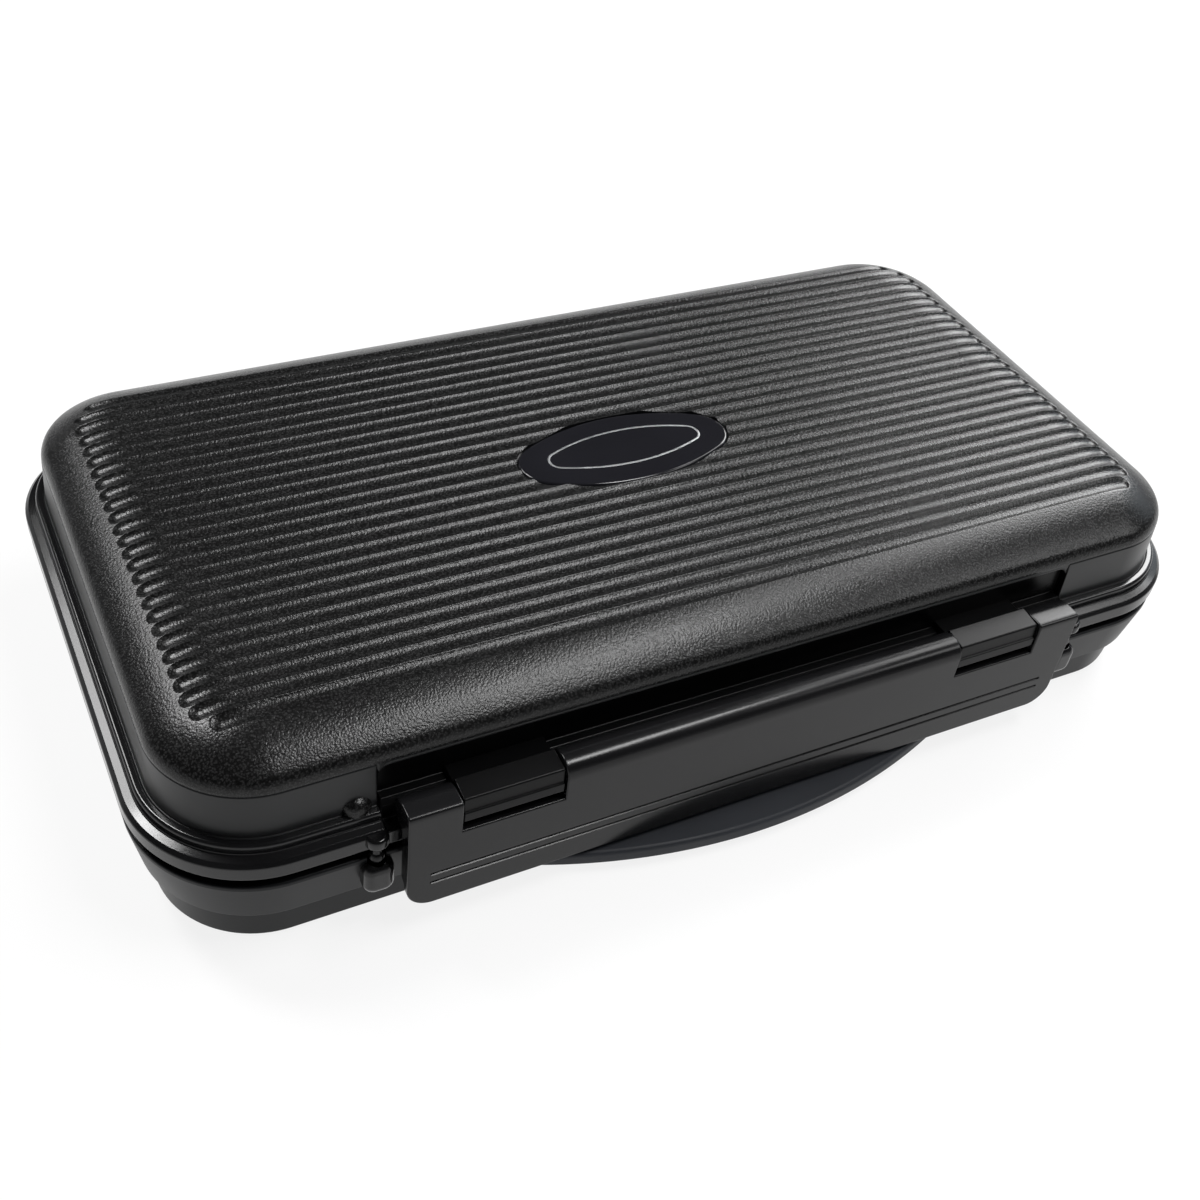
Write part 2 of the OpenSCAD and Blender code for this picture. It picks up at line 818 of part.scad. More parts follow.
module tray_section() {
    core = -(tub_r + 5);
    lip = 1.2;
    difference() {
        union() {
            polygon([[core, floor_z], [tray_foot, floor_z], [tray_out(knee_z), knee_z],
                     [tray_out(tray_z), tray_z], [core, tray_z]]);
            translate([tray_in(tray_z), tray_z - lip])
                square([tray_wall + 0.3, lip]);
        }
        polygon([[core - over, tray_base_z], [tray_foot - 0.6, tray_base_z],
                 [tray_in(knee_in_z), knee_in_z], [tray_in(tray_z + over), tray_z + over],
                 [core - over, tray_z + over]]);
    }
}

// Points up the inside of the tray's wall at a distance in from it, as [across, height].
function inside_points(half, inset, z0, z1) =
    [[half + tray_foot - 0.6 - inset, z0], [half + tray_in(knee_in_z) - inset, knee_in_z],
     [half + tray_in(z1) - inset, z1]];

// The four ribs of one slot: two at the outer wall and two at the middle wall.
module slot_ribs(x, side) {
    rib = 1.1;
    deep = 1.2;
    z0 = tray_base_z - 0.2;
    face = inside_points(half_d, deep, z0, mid_wall_z);
    root = inside_points(half_d, -0.5, z0, mid_wall_z);
    mirror([0, side > 0 ? 0 : 1, 0])
        for (s = [-1, 1]) {
            x0 = s > 0 ? x + divider_t / 2 + 0.15 : x - divider_t / 2 - 0.15 - rib;
            along_x(x0, x0 + rib) {
                polygon([face[0], root[0], root[1], root[2], face[2], face[1]]);
                translate([0, z0])
                    square([tray_wall / 2 + deep, mid_wall_z - z0]);
            }
        }
}

module compartment_tray() {
    ends = inside_points(half_w, -0.5, tray_base_z - 0.2, mid_wall_z);
    color("#c9ced4", 0.8) {
        around_case()
            tray_section();
        plate(tub_r + 3, floor_z, tray_base_z);
        translate([0, tray_wall / 2, 0])
            rotate([90, 0, 0])
                linear_extrude(tray_wall)
                    polygon([for (p = ends) p, for (i = [2 : -1 : 0]) [-ends[i][0], ends[i][1]]]);
        for (i = slots, side = [-1, 1])
            slot_ribs(i * slot_pitch, side);
    }
}

// A loose divider in one of the slots, with a thumb notch in its top edge.
module tray_divider(x, side) {
    edge = inside_points(half_d, 0.2, tray_base_z, divider_z);
    near_y = tray_wall / 2 + 0.2;
    color("#d8dde2", 0.8)
        mirror([0, side > 0 ? 0 : 1, 0])
            along_x(x - divider_t / 2, x + divider_t / 2)
                difference() {
                    polygon([[near_y, tray_base_z], edge[0], edge[1], edge[2], [near_y, divider_z]]);
                    translate([(near_y + edge[2][0]) / 2, divider_z + notch_up])
                        circle(notch_r);
                }
}

module divider_number(n) {
    tray_divider(divider_slots[(n - 1) % 3] * slot_pitch, n > 3 ? 1 : -1);
}

base_shell();
lid_shell();
seal_gasket();
badge_plate();
hook_foam();
hinge_pin(-hinge_x);  // hinge_pin_left
hinge_pin(hinge_x);  // hinge_pin_right
front_latch();
latch_rod();
snap_stud(-stud_x);  // snap_stud_left
snap_stud(stud_x);  // snap_stud_right
carry_handle();
bottom_cover();
cover_screws();
compartment_tray();
for (n = [1 : 6])
    divider_number(n);
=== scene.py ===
"""Dresses a flat clamshell tackle case: moulded shells, latch, handle, badge, foam and seal.

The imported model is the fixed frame. Shapes here are worked out in its millimetres and made in metres.
+X is to the right seen from the front, -Y to the front, +Z up.
"""

import math

import bmesh
import bpy
import numpy as np
from mathutils import Matrix, Vector

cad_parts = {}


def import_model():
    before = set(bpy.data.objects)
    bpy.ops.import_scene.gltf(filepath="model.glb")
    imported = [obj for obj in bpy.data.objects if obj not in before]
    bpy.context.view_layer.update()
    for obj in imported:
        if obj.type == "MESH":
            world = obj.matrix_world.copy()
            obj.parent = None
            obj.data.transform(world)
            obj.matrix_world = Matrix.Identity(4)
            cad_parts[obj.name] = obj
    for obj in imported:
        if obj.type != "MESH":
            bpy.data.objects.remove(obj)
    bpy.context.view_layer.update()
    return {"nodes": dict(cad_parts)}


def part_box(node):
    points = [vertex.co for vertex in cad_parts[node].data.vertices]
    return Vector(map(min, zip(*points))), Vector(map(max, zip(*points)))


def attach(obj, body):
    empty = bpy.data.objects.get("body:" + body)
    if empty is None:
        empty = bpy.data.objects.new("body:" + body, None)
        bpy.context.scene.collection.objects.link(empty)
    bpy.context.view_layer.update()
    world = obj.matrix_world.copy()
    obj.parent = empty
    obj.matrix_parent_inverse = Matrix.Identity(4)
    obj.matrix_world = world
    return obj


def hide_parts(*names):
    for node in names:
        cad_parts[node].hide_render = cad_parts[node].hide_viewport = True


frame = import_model()

MM = 0.001

# ---------- sizes, in millimetres ----------


def node_box(node):
    """Lowest and highest corner of a node of the frame, in millimetres."""
    return [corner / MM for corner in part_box(node)]


lid_box = node_box("lid_shell")
seal_box = node_box("seal_gasket")
latch_box = node_box("front_latch")
rod_box = node_box("latch_rod")
handle_box = node_box("carry_handle")
badge_box = node_box("badge_plate")
foam_box = node_box("hook_foam")
cover_box = node_box("bottom_cover")
tray_box = node_box("compartment_tray")
pin_boxes = [node_box("hinge_pin_left"), node_box("hinge_pin_right")]
stud_boxes = [node_box("snap_stud_left"), node_box("snap_stud_right")]

# Plan: the outline is the edge of the lid's dome, and "out" is measured outward from it
LID_RIM_OUT = 5.8
RIM_OUT = 5.5
CORNER_R = 22
HALF_W = lid_box[1].x - LID_RIM_OUT
HALF_D = HALF_W - (seal_box[1].x - seal_box[1].y)
SIDE_X = HALF_W - CORNER_R
SIDE_Y = HALF_D - CORNER_R

# Heights
CROWN = 1.4         # the photograph's top is a little higher than the solid's
TOP_Z = lid_box[1].z + CROWN
DOME_RISE = 7 + CROWN
BAND_H = 9.9
EDGE_Z = TOP_Z - DOME_RISE
BAND_Z = EDGE_Z - BAND_H
LID_Z = seal_box[0].z
LID_WALL = 2.4
FLOOR_Z = tray_box[0].z
STEP_Z = FLOOR_Z + 1.5
RIM_Z = LID_Z - 3.7
SEAM_LIP = 1.1      # how far the lid's rim hangs below its sealing face
TONGUE_Z = LID_Z - 0.3

# Dome: the small arc of its edge, and the large arc that runs into the flat top
EDGE_R = 4
SHOULDER_W = 18.6
DOME_R = ((SHOULDER_W - EDGE_R) ** 2 + DOME_RISE ** 2 - EDGE_R ** 2) / (2 * (DOME_RISE - EDGE_R))
DOME_Z = TOP_Z - DOME_R
MEET_A = math.atan2(EDGE_Z - DOME_Z, SHOULDER_W - EDGE_R)

# Flutes
FLUTE_COUNT = 27
FLUTE_PITCH = 4.2
FLUTE_W = 4.1
FLUTE_DEPTH = 0.76
FLUTE_SHIFT = 1.4   # the flutes lie this far behind the middle
FLUTE_R = ((FLUTE_W / 2) ** 2 + FLUTE_DEPTH ** 2) / (2 * FLUTE_DEPTH)
RIDGE_SOFTNESS = 0.1
END_INSET = 10.6    # the middle of a flute's rounded end, inside the outline

# Latch
LATCH_HALF = latch_box[1].x
LATCH_Y = latch_box[0].y
LATCH_Z = latch_box[0].z
LATCH_T = 2.2
BARREL_R = 4.2
AXIS_Y = (rod_box[0].y + rod_box[1].y) / 2
AXIS_Z = (rod_box[0].z + rod_box[1].z) / 2
NOTCH_X = 62.7
NOTCH_W = 23.2
BLOCK_HALF = 3.7
BLOCK_W = NOTCH_W - 0.6
NOTCH_Z = AXIS_Z - BLOCK_HALF - 1.7
RECESS_HALF = LATCH_HALF + 2.7
RECESS_IN = 1.4
RECESS_TOP = EDGE_Z - 1.2
RECESS_CORNER = 3
LEDGE_Z = AXIS_Z - BARREL_R - 0.5
FLANGE_OUT = -(AXIS_Y + BARREL_R + 0.3) - HALF_D

# Studs and rear hinges
STUD_X = stud_boxes[1][0].x / 2 + stud_boxes[1][1].x / 2
STUD_Y = stud_boxes[1][0].y / 2 + stud_boxes[1][1].y / 2
HINGE_Y = (pin_boxes[0][0].y + pin_boxes[0][1].y) / 2
HINGE_Z = (pin_boxes[0][0].z + pin_boxes[0][1].z) / 2
HINGE_X = (pin_boxes[1][0].x + pin_boxes[1][1].x) / 2
HINGE_L = pin_boxes[1][1].x - pin_boxes[1][0].x + 1
KNUCKLE_R = 3.2
LID_KNUCKLE_L = 17.4
PIN_BORE = 1.3

# ---------- mesh tools ----------


class Skin:
    """Points in millimetres and faces, each with the number of its finish."""

    def __init__(self):
        self.points = []
        self.faces = []
        self.finishes = []

    def add(self, points):
        start = len(self.points)
        self.points.extend(tuple(p) for p in points)
        return list(range(start, len(self.points)))

    def face(self, corners, finish=0):
        self.faces.append(tuple(corners))
        self.finishes.append(finish)

    def loft(self, loops, loops_close=True, path_closes=False, finish=0):
        """Joins loops of equally many points. finish is one number, or a list with one for each gap."""
        rows = [self.add(loop) for loop in loops]
        count = len(rows[0])
        gaps = count if loops_close else count - 1
        finishes = finish if isinstance(finish, list) else [finish] * gaps
        pairs = list(zip(rows, rows[1:]))
        if path_closes:
            pairs.append((rows[-1], rows[0]))
        for a, b in pairs:
            for k in range(gaps):
                m = (k + 1) % count
                self.face((a[k], a[m], b[m], b[k]), finishes[k])
        return rows

    def zip_loops(self, a, a_at, b, b_at, whole, finish=0):
        """Joins two closed loops of different counts by how far round each of their points lies."""
        a_more, b_more = a + a[:1], b + b[:1]
        a_next, b_next = a_at + [a_at[0] + whole], b_at + [b_at[0] + whole]
        i = j = 0
        while i < len(a) or j < len(b):
            if j == len(b) or (i < len(a) and a_next[i + 1] <= b_next[j + 1]):
                self.face((a_more[i], a_more[i + 1], b_more[j]), finish)
                i += 1
            else:
                self.face((a_more[i], b_more[j + 1], b_more[j]), finish)
                j += 1


def rounded(corners, closed=True, steps=5):
    """A line through corners (u, v, radius), with each corner's radius as an arc of fixed point count."""
    line = []
    count = len(corners)
    for i, (u, v, radius) in enumerate(corners):
        point = np.array((u, v), float)
        at_end = not closed and i in (0, count - 1)
        if radius <= 0 or at_end:
            line.append(tuple(point))
            continue
        before = np.array(corners[i - 1][:2], float) - point
        after = np.array(corners[(i + 1) % count][:2], float) - point
        reach = 0.48 * min(np.linalg.norm(before), np.linalg.norm(after))
        before /= np.linalg.norm(before)
        after /= np.linalg.norm(after)
        half = math.acos(max(-1, min(1, float(before @ after)))) / 2
        tangent = min(max(radius / math.tan(half), 0.01), reach)
        start, end = point + before * tangent, point + after * tangent
        if half > 1.55:
            line += [tuple(start + (end - start) * k / steps) for k in range(steps + 1)]
            continue
        centre = point + (before + after) / np.linalg.norm(before + after) * tangent / math.cos(half)
        a0 = math.atan2(*(start - centre)[::-1])
        a1 = math.atan2(*(end - centre)[::-1])
        turn = (a1 - a0 + math.pi) % (2 * math.pi) - math.pi
        size = np.linalg.norm(start - centre)
        for k in range(steps + 1):
            a = a0 + turn * k / steps
            line.append((centre[0] + size * math.cos(a), centre[1] + size * math.sin(a)))
    return line


def inset_line(line, by):
    """A closed line moved inward, with mitred corners. The line runs anticlockwise."""
    p = np.array(line, float)
    along = np.roll(p, -1, 0) - p
    along /= np.linalg.norm(along, axis=1)[:, None]
    inward = np.stack((-along[:, 1], along[:, 0]), 1)
    before = np.roll(inward, 1, 0)
    scale = by / np.maximum(1 + (inward * before).sum(1), 0.3)
    return p + (inward + before) * scale[:, None]


def anticlockwise(line):
    p = np.array(line, float)
    q = np.roll(p, -1, 0)
    area = (p[:, 0] * q[:, 1] - q[:, 0] * p[:, 1]).sum()
    return line if area > 0 else line[::-1]


def place(u, v, w, axis):
    """A section's point (u, v) at w along an axis: (y, z) along x, (x, z) along y, (x, y) along z."""
    return {"x": (w, u, v), "y": (u, w, v), "z": (u, v, w)}[axis]


def prism(skin, corners, low, high, edge=0.3, axis="x", finish=0, steps=5, edge_steps=4):
    """A section drawn out along an axis, with the edges of its two ends rounded."""
    line = anticlockwise(rounded(corners, steps=steps))
    ends = []
    for k in range(edge_steps + 1):
        a = math.pi / 2 * k / edge_steps
        ends.append((edge * (1 - math.cos(a)), edge * (1 - math.sin(a))))
    if edge == 0:
        ends = [(0, 0)]
    loops = [(low + run, inset) for run, inset in ends]
    loops += [(high - run, inset) for run, inset in ends[::-1]]
    rows = skin.loft([[place(u, v, w, axis) for u, v in inset_line(line, inset)] for w, inset in loops],
                     finish=finish)
    skin.face(rows[0], finish)
    skin.face(rows[-1], finish)


def circle_line(radius, u=0, v=0, count=48):
    turns = [2 * math.pi * k / count for k in range(count)]
    return [(u + radius * math.cos(a), v + radius * math.sin(a), 0) for a in turns]


def lathe(skin, profile, centre, count=40, finish=0):
    """A closed solid of revolution about a vertical line, from (radius, height) points that end on it."""
    turns = [2 * math.pi * k / count for k in range(count)]
    inner = profile[1:-1]
    rows = [skin.add([(centre[0] + r * math.cos(a), centre[1] + r * math.sin(a), z) for a in turns])
            for r, z in inner]
    for a, b in zip(rows, rows[1:]):
        for k in range(count):
            m = (k + 1) % count
            skin.face((a[k], a[m], b[m], b[k]), finish)
    for row, (_, z) in ((rows[0], profile[0]), (rows[-1], profile[-1])):
        tip = skin.add([(centre[0], centre[1], z)])[0]
        for k in range(count):
            skin.face((row[k], row[(k + 1) % count], tip), finish)


def make(name, skin, materials):
    """An object from a skin, with its faces turned outward."""
    mesh = bpy.data.meshes.new(name)
    mesh.from_pydata([tuple(c * MM for c in p) for p in skin.points], [], skin.faces)
    mesh.polygons.foreach_set("material_index", skin.finishes)
    for material in materials:
        mesh.materials.append(material)
    build = bmesh.new()
    build.from_mesh(mesh)
    bmesh.ops.recalc_face_normals(build, faces=build.faces)
    build.to_mesh(mesh)
    build.free()
    piece = bpy.data.objects.new(name, mesh)
    bpy.context.scene.collection.objects.link(piece)
    return piece


def combine(piece, skin, operation):
    """Adds a skin's solids to a piece with UNION, or cuts them out of it with DIFFERENCE."""
    tool = make("tool", skin, [])
    step = piece.modifiers.new("combine", "BOOLEAN")
    step.operation = operation
    step.solver = "MANIFOLD"
    step.object = tool
    bpy.context.view_layer.update()
    graph = bpy.context.evaluated_depsgraph_get()
    mesh = bpy.data.meshes.new_from_object(piece.evaluated_get(graph))
    piece.modifiers.clear()
    old = piece.data
    piece.data = mesh
    mesh.name = piece.name
    bpy.data.meshes.remove(old)
    bpy.data.objects.remove(tool)


def dress(piece, body, nodes=(), angle=35):
    """Shades a piece smooth with its creases kept, and puts it on its body."""
    piece.data.shade_smooth()
    piece.data.set_sharp_from_angle(angle=math.radians(angle))
    even = piece.modifiers.new("even", "WEIGHTED_NORMAL")
    even.keep_sharp = True
    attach(piece, body)
    if nodes:
        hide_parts(*nodes)
    return piece


# ---------- the outline ----------

CORNER_STEPS = 24
WHOLE_ROUND = 8


def inset_at(x, y):
    """How far inside the outline a point lies."""
    a, b = abs(x) - SIDE_X, abs(y) - SIDE_Y
    if a > 0 and b > 0:
        return CORNER_R - math.hypot(a, b)
    return min(HALF_W - abs(x), HALF_D - abs(y))


def round_at(x, y):
    """How far round the outline a point lies: 0 to 8, with a whole number for each side and corner."""
    a, b = abs(x) - SIDE_X, abs(y) - SIDE_Y
    if a > 1e-6 and b > 1e-6:
        turn = math.atan2(b, a) / (math.pi / 2)
        quarter = (0 if x > 0 else 1) if y > 0 else (3 if x > 0 else 2)
        return 2 * quarter + 1 + (turn if quarter % 2 == 0 else 1 - turn)
    if b <= 1e-6:
        share = (y + SIDE_Y) / (2 * SIDE_Y)
        return share if x > 0 else 5 - share
    share = (x + SIDE_X) / (2 * SIDE_X)
    return 3 - share if y > 0 else 6 + share


def outline(front_x=(), side_step=9):
    """Rows (x, y, out x, out y) round the outline, from the right side on, anticlockwise."""
    xs = list(np.linspace(-SIDE_X, SIDE_X, round(2 * SIDE_X / side_step) + 1))
    ys = list(np.linspace(-SIDE_Y, SIDE_Y, round(2 * SIDE_Y / side_step) + 1))
    front = sorted(set(xs) | set(front_x))
    turns = [math.pi / 2 * k / CORNER_STEPS for k in range(1, CORNER_STEPS)]

    def corner(quarter):
        sx = 1 if quarter in (0, 3) else -1
        sy = 1 if quarter < 2 else -1
        rows = []
        for turn in turns:
            a = turn + quarter * math.pi / 2
            c, s = math.cos(a), math.sin(a)
            rows.append((sx * SIDE_X + CORNER_R * c, sy * SIDE_Y + CORNER_R * s, c, s))
        return rows

    return ([(HALF_W, y, 1, 0) for y in ys] + corner(0)
            + [(x, HALF_D, 0, 1) for x in xs[::-1]] + corner(1)
            + [(-HALF_W, y, -1, 0) for y in ys[::-1]] + corner(2)
            + [(x, -HALF_D, 0, -1) for x in front] + corner(3))


def carry(skin, rows, section, finish=0, loops_close=False):
    """Carries a section round the case. section(row) gives its (out, height) points at a row."""
    loops = [[(x + o * nx, y + o * ny, z) for o, z in section((x, y, nx, ny))] for x, y, nx, ny in rows]
    return skin.loft(loops, loops_close=loops_close, path_closes=True, finish=finish)


# ---------- lid ----------

# Finish 3 is a near-black colour that paints the shade inside the latch's recess and on the blocks in it.
GRAINED, SATIN, GLOSS, RECESS_SHADE_FINISH = 0, 1, 2, 3
DOME_STEPS = 12     # steps of the lid's section over the dome's edge, outside and inside
RING_INSET = 4.5    # the ring of the lid's side ends here, inside the outline
TOP_INSET = 5       # and the fluted top begins here


def dome_height(inset, wall=0):
    """Height of the dome's outer face, or of the face a wall's thickness under it."""
    meet = SHOULDER_W - (DOME_R - wall) * math.cos(MEET_A)
    if inset >= SHOULDER_W:
        return TOP_Z - wall
    if inset >= meet:
        return DOME_Z + math.sqrt((DOME_R - wall) ** 2 - (SHOULDER_W - inset) ** 2)
    radius = EDGE_R - wall
    return EDGE_Z + math.sqrt(max(radius ** 2 - (EDGE_R - inset) ** 2, 0))


def arc_insets(first, last, count, power=2):
    """Insets that crowd towards the steep outer edge."""
    return [first + (last - first) * (k / count) ** power for k in range(count + 1)]


def recess_weight(x, y):
    """1 where the band is cut away for the latch, 0 elsewhere, with a short run between."""
    if y > -HALF_D + 0.001:
        return 0.0
    t = min(max((RECESS_HALF + 0.35 - abs(x)) / 0.7, 0), 1)
    return t * t * (3 - 2 * t)


def recess_height(x):
    """Top of the recess, which falls in a round corner at either end."""
    past = min(max(abs(x) - (RECESS_HALF - RECESS_CORNER), 0), RECESS_CORNER * 0.98)
    return RECESS_TOP - RECESS_CORNER + math.sqrt(RECESS_CORNER ** 2 - past ** 2)


def side_corners():
    """The lid's side below the dome, outside and inside, as (out, height, radius)."""
    return [(0, EDGE_Z, 0), (-0.22, EDGE_Z - 0.2, 0.08), (0.04, EDGE_Z - 0.5, 0.12),
            (0.1, EDGE_Z - 1.5, 0.2), (0.66, BAND_Z - 1.9, 0.3), (1.3, BAND_Z - 1.55, 0.25),
            (3.0, BAND_Z - 1.6, 1.25), (3.05, LID_Z + 3.75, 0.4), (4.9, LID_Z + 3.3, 0.3),
            (LID_RIM_OUT, LID_Z + 2.5, 0.6),
            (LID_RIM_OUT, LID_Z - SEAM_LIP, 0.5), (3.9, LID_Z - SEAM_LIP, 0.3), (3.4, LID_Z + 1.5, 0.1),
            (1.4, LID_Z + 1.5, 0.1), (1.4, LID_Z, 0.12), (-LID_WALL, LID_Z, 0.4),
            (-LID_WALL, LID_Z + 1.8, 0.2), (-LID_WALL, LID_Z + 2.4, 0.2), (-LID_WALL, EDGE_Z - 0.6, 0)]


def recess_corners(x):
    """The same corners where the recess for the latch is cut into the side."""
    top = recess_height(x)
    back = -RECESS_IN - 2.2
    return [(0, EDGE_Z, 0), (-0.06, top + 0.75, 0.08), (0, top + 0.55, 0.12),
            (0, top, 0.3), (-RECESS_IN, top - 0.1, 0.35), (-RECESS_IN, BAND_Z, 0.4),
            (FLANGE_OUT - 1.1, BAND_Z, 0.3), (FLANGE_OUT, BAND_Z - 1.1, 0.3), (FLANGE_OUT, LEDGE_Z, 0.3),
            (LID_RIM_OUT, LEDGE_Z, 0.4),
            (LID_RIM_OUT, LID_Z - SEAM_LIP, 0.5), (3.9, LID_Z - SEAM_LIP, 0.3), (3.4, LID_Z + 1.5, 0.1),
            (1.4, LID_Z + 1.5, 0.1), (1.4, LID_Z, 0.12), (-LID_WALL, LID_Z, 0.4),
            (-LID_WALL, LID_Z + 1.9, 0.2), (back, LID_Z + 2.4, 0.2), (back, EDGE_Z - 0.2, 0)]


def lid_section(row):
    """Section of the lid from the edge of its top round to its ceiling, as (out, height)."""
    x, y = row[:2]
    w = recess_weight(x, y)
    outer = [(-i, dome_height(i)) for i in arc_insets(0.02, RING_INSET, DOME_STEPS)[::-1]]
    plain, cut = side_corners(), recess_corners(x)
    # The rim keeps its lower edge where the recess is cut
    blend = [tuple(np.array(a) * (1 - w) + np.array(b) * w) for a, b in zip(plain, cut)]
    start = -blend[-1][0]
    inner = [(-i, dome_height(i, LID_WALL + CROWN)) for i in arc_insets(start, SHOULDER_W, DOME_STEPS)]
    return outer + rounded(blend, closed=False) + inner


def lid_finishes():
    """A finish for each gap along the lid's section: grained dome, satin band, gloss rim, satin inside."""
    dome_end = DOME_STEPS + 1
    corner = 6          # points of a rounded corner
    band_end = dome_end + 1 + 4 * corner
    rim_end = dome_end + 1 + 11 * corner
    points = dome_end + len(rounded(side_corners(), closed=False)) + DOME_STEPS + 1
    return [GRAINED if k < dome_end else SATIN if k < band_end else GLOSS if k < rim_end else SATIN
            for k in range(points - 1)]


def flute_rows():
    """The y values of the rows of the top: close together over the ridges, and out to its edges."""
    half = [0, 0.5, 0.95, 1.35, 1.65, 1.85, 1.96, 2.03, 2.1]
    first = FLUTE_SHIFT - (FLUTE_COUNT - 1) / 2 * FLUTE_PITCH
    middles = [first + i * FLUTE_PITCH for i in range(FLUTE_COUNT)]
    rows = {round(m + s * h, 4) for m in middles for h in half for s in (-1, 1)}
    edge = HALF_D - TOP_INSET
    front, back = min(rows), max(rows)
    behind = {back + (edge - back) * k / 12 for k in range(1, 13)}
    before = {front - (edge + front) * k / 14 for k in range(1, 15)}
    return sorted(rows | behind | before)


def flute_end(y):
    """How far along X a flute's rounded end has its middle: each is equally far inside the outline."""
    past = abs(y - FLUTE_SHIFT) - SIDE_Y
    if past <= 0:
        return HALF_W - END_INSET
    return SIDE_X + math.sqrt(max((CORNER_R - END_INSET) ** 2 - past ** 2, 0))


def top_height(x, y):
    """Height of the top: the dome, with the flutes sunk into it and their ridges rounded."""
    dome = dome_height(inset_at(x, y))
    last = FLUTE_COUNT // 2
    which = min(max(round((y - FLUTE_SHIFT) / FLUTE_PITCH), -last), last)
    nearest = which * FLUTE_PITCH + FLUTE_SHIFT
    off = math.hypot(y - nearest, max(abs(x) - flute_end(nearest), 0))
    if off >= FLUTE_R:
        return dome
    depth = math.sqrt(FLUTE_R ** 2 - off ** 2) - (FLUTE_R - FLUTE_DEPTH)
    near = max(RIDGE_SOFTNESS - abs(depth), 0)
    return dome - max(depth, 0) - near ** 2 / (4 * RIDGE_SOFTNESS)


def top_reach(y):
    """Half the width of the top at a row."""
    past = abs(y) - SIDE_Y
    if past <= 0:
        return HALF_W - TOP_INSET
    return SIDE_X + math.sqrt(max((CORNER_R - TOP_INSET) ** 2 - past ** 2, 0))


def fluted_top(skin, ring, ring_at):
    """The top as a grid of heights, joined to the ring of the side."""
    end_zone = 16
    ends = np.linspace(0, end_zone, 65)
    middle = np.linspace(-1, 1, 51)[1:-1]
    grid = []
    for y in flute_rows():
        reach = top_reach(y)
        xs = np.concatenate((-reach + ends, middle * (reach - end_zone), reach - ends[::-1]))
        grid.append(skin.add([(x, y, top_height(x, y)) for x in xs]))
    for a, b in zip(grid, grid[1:]):
        for k in range(len(a) - 1):
            skin.face((a[k], a[k + 1], b[k + 1], b[k]), GRAINED)
    border = ([row[-1] for row in grid] + grid[-1][-2::-1]
              + [row[0] for row in grid[-2::-1]] + grid[0][1:-1])
    at = [round_at(*skin.points[i][:2]) for i in border]
    first = at.index(min(at))
    border, at = border[first:] + border[:first], at[first:] + at[:first]
    skin.zip_loops(border, at, ring, ring_at, WHOLE_ROUND, GRAINED)


def latch_block(skin, x):
    """A block that carries the latch: nearly flat top, a drop behind it, and a step along its face."""
    face, back = AXIS_Y - BLOCK_HALF, -HALF_D + RECESS_IN + 0.6
    low, high = AXIS_Z - BLOCK_HALF, AXIS_Z + BLOCK_HALF
    corners = [(face, low, 0.9), (back, low, 0), (back, AXIS_Z + 2, 0), (AXIS_Y + 3.1, AXIS_Z + 2, 0.1),
               (AXIS_Y + 2.6, high, 0.3), (face + 0.6, high - 0.6, 0.5), (face + 0.45, AXIS_Z - 0.4, 0.12),
               (face, AXIS_Z - 0.7, 0.25)]
    # The block takes the recess finish, whose near-black colour is painted shade.
    prism(skin, corners, x - BLOCK_W / 2, x + BLOCK_W / 2, 0.25, finish=RECESS_SHADE_FINISH)


def lid_gusset():
    """Section of the web that joins a hinge knuckle to the lid's rim."""
    out = HALF_D + LID_RIM_OUT - 1.5
    return [(out, LID_Z + 0.2, 0), (HINGE_Y - KNUCKLE_R + 0.4, HINGE_Z + 0.5, 0.3), (HINGE_Y, HINGE_Z, 0),
            (HINGE_Y + KNUCKLE_R * 0.74, HINGE_Z + KNUCKLE_R * 0.62, 0),
            (HINGE_Y - 1, LID_Z + 2.9, 0.8), (out, LID_Z + 3.2, 0)]


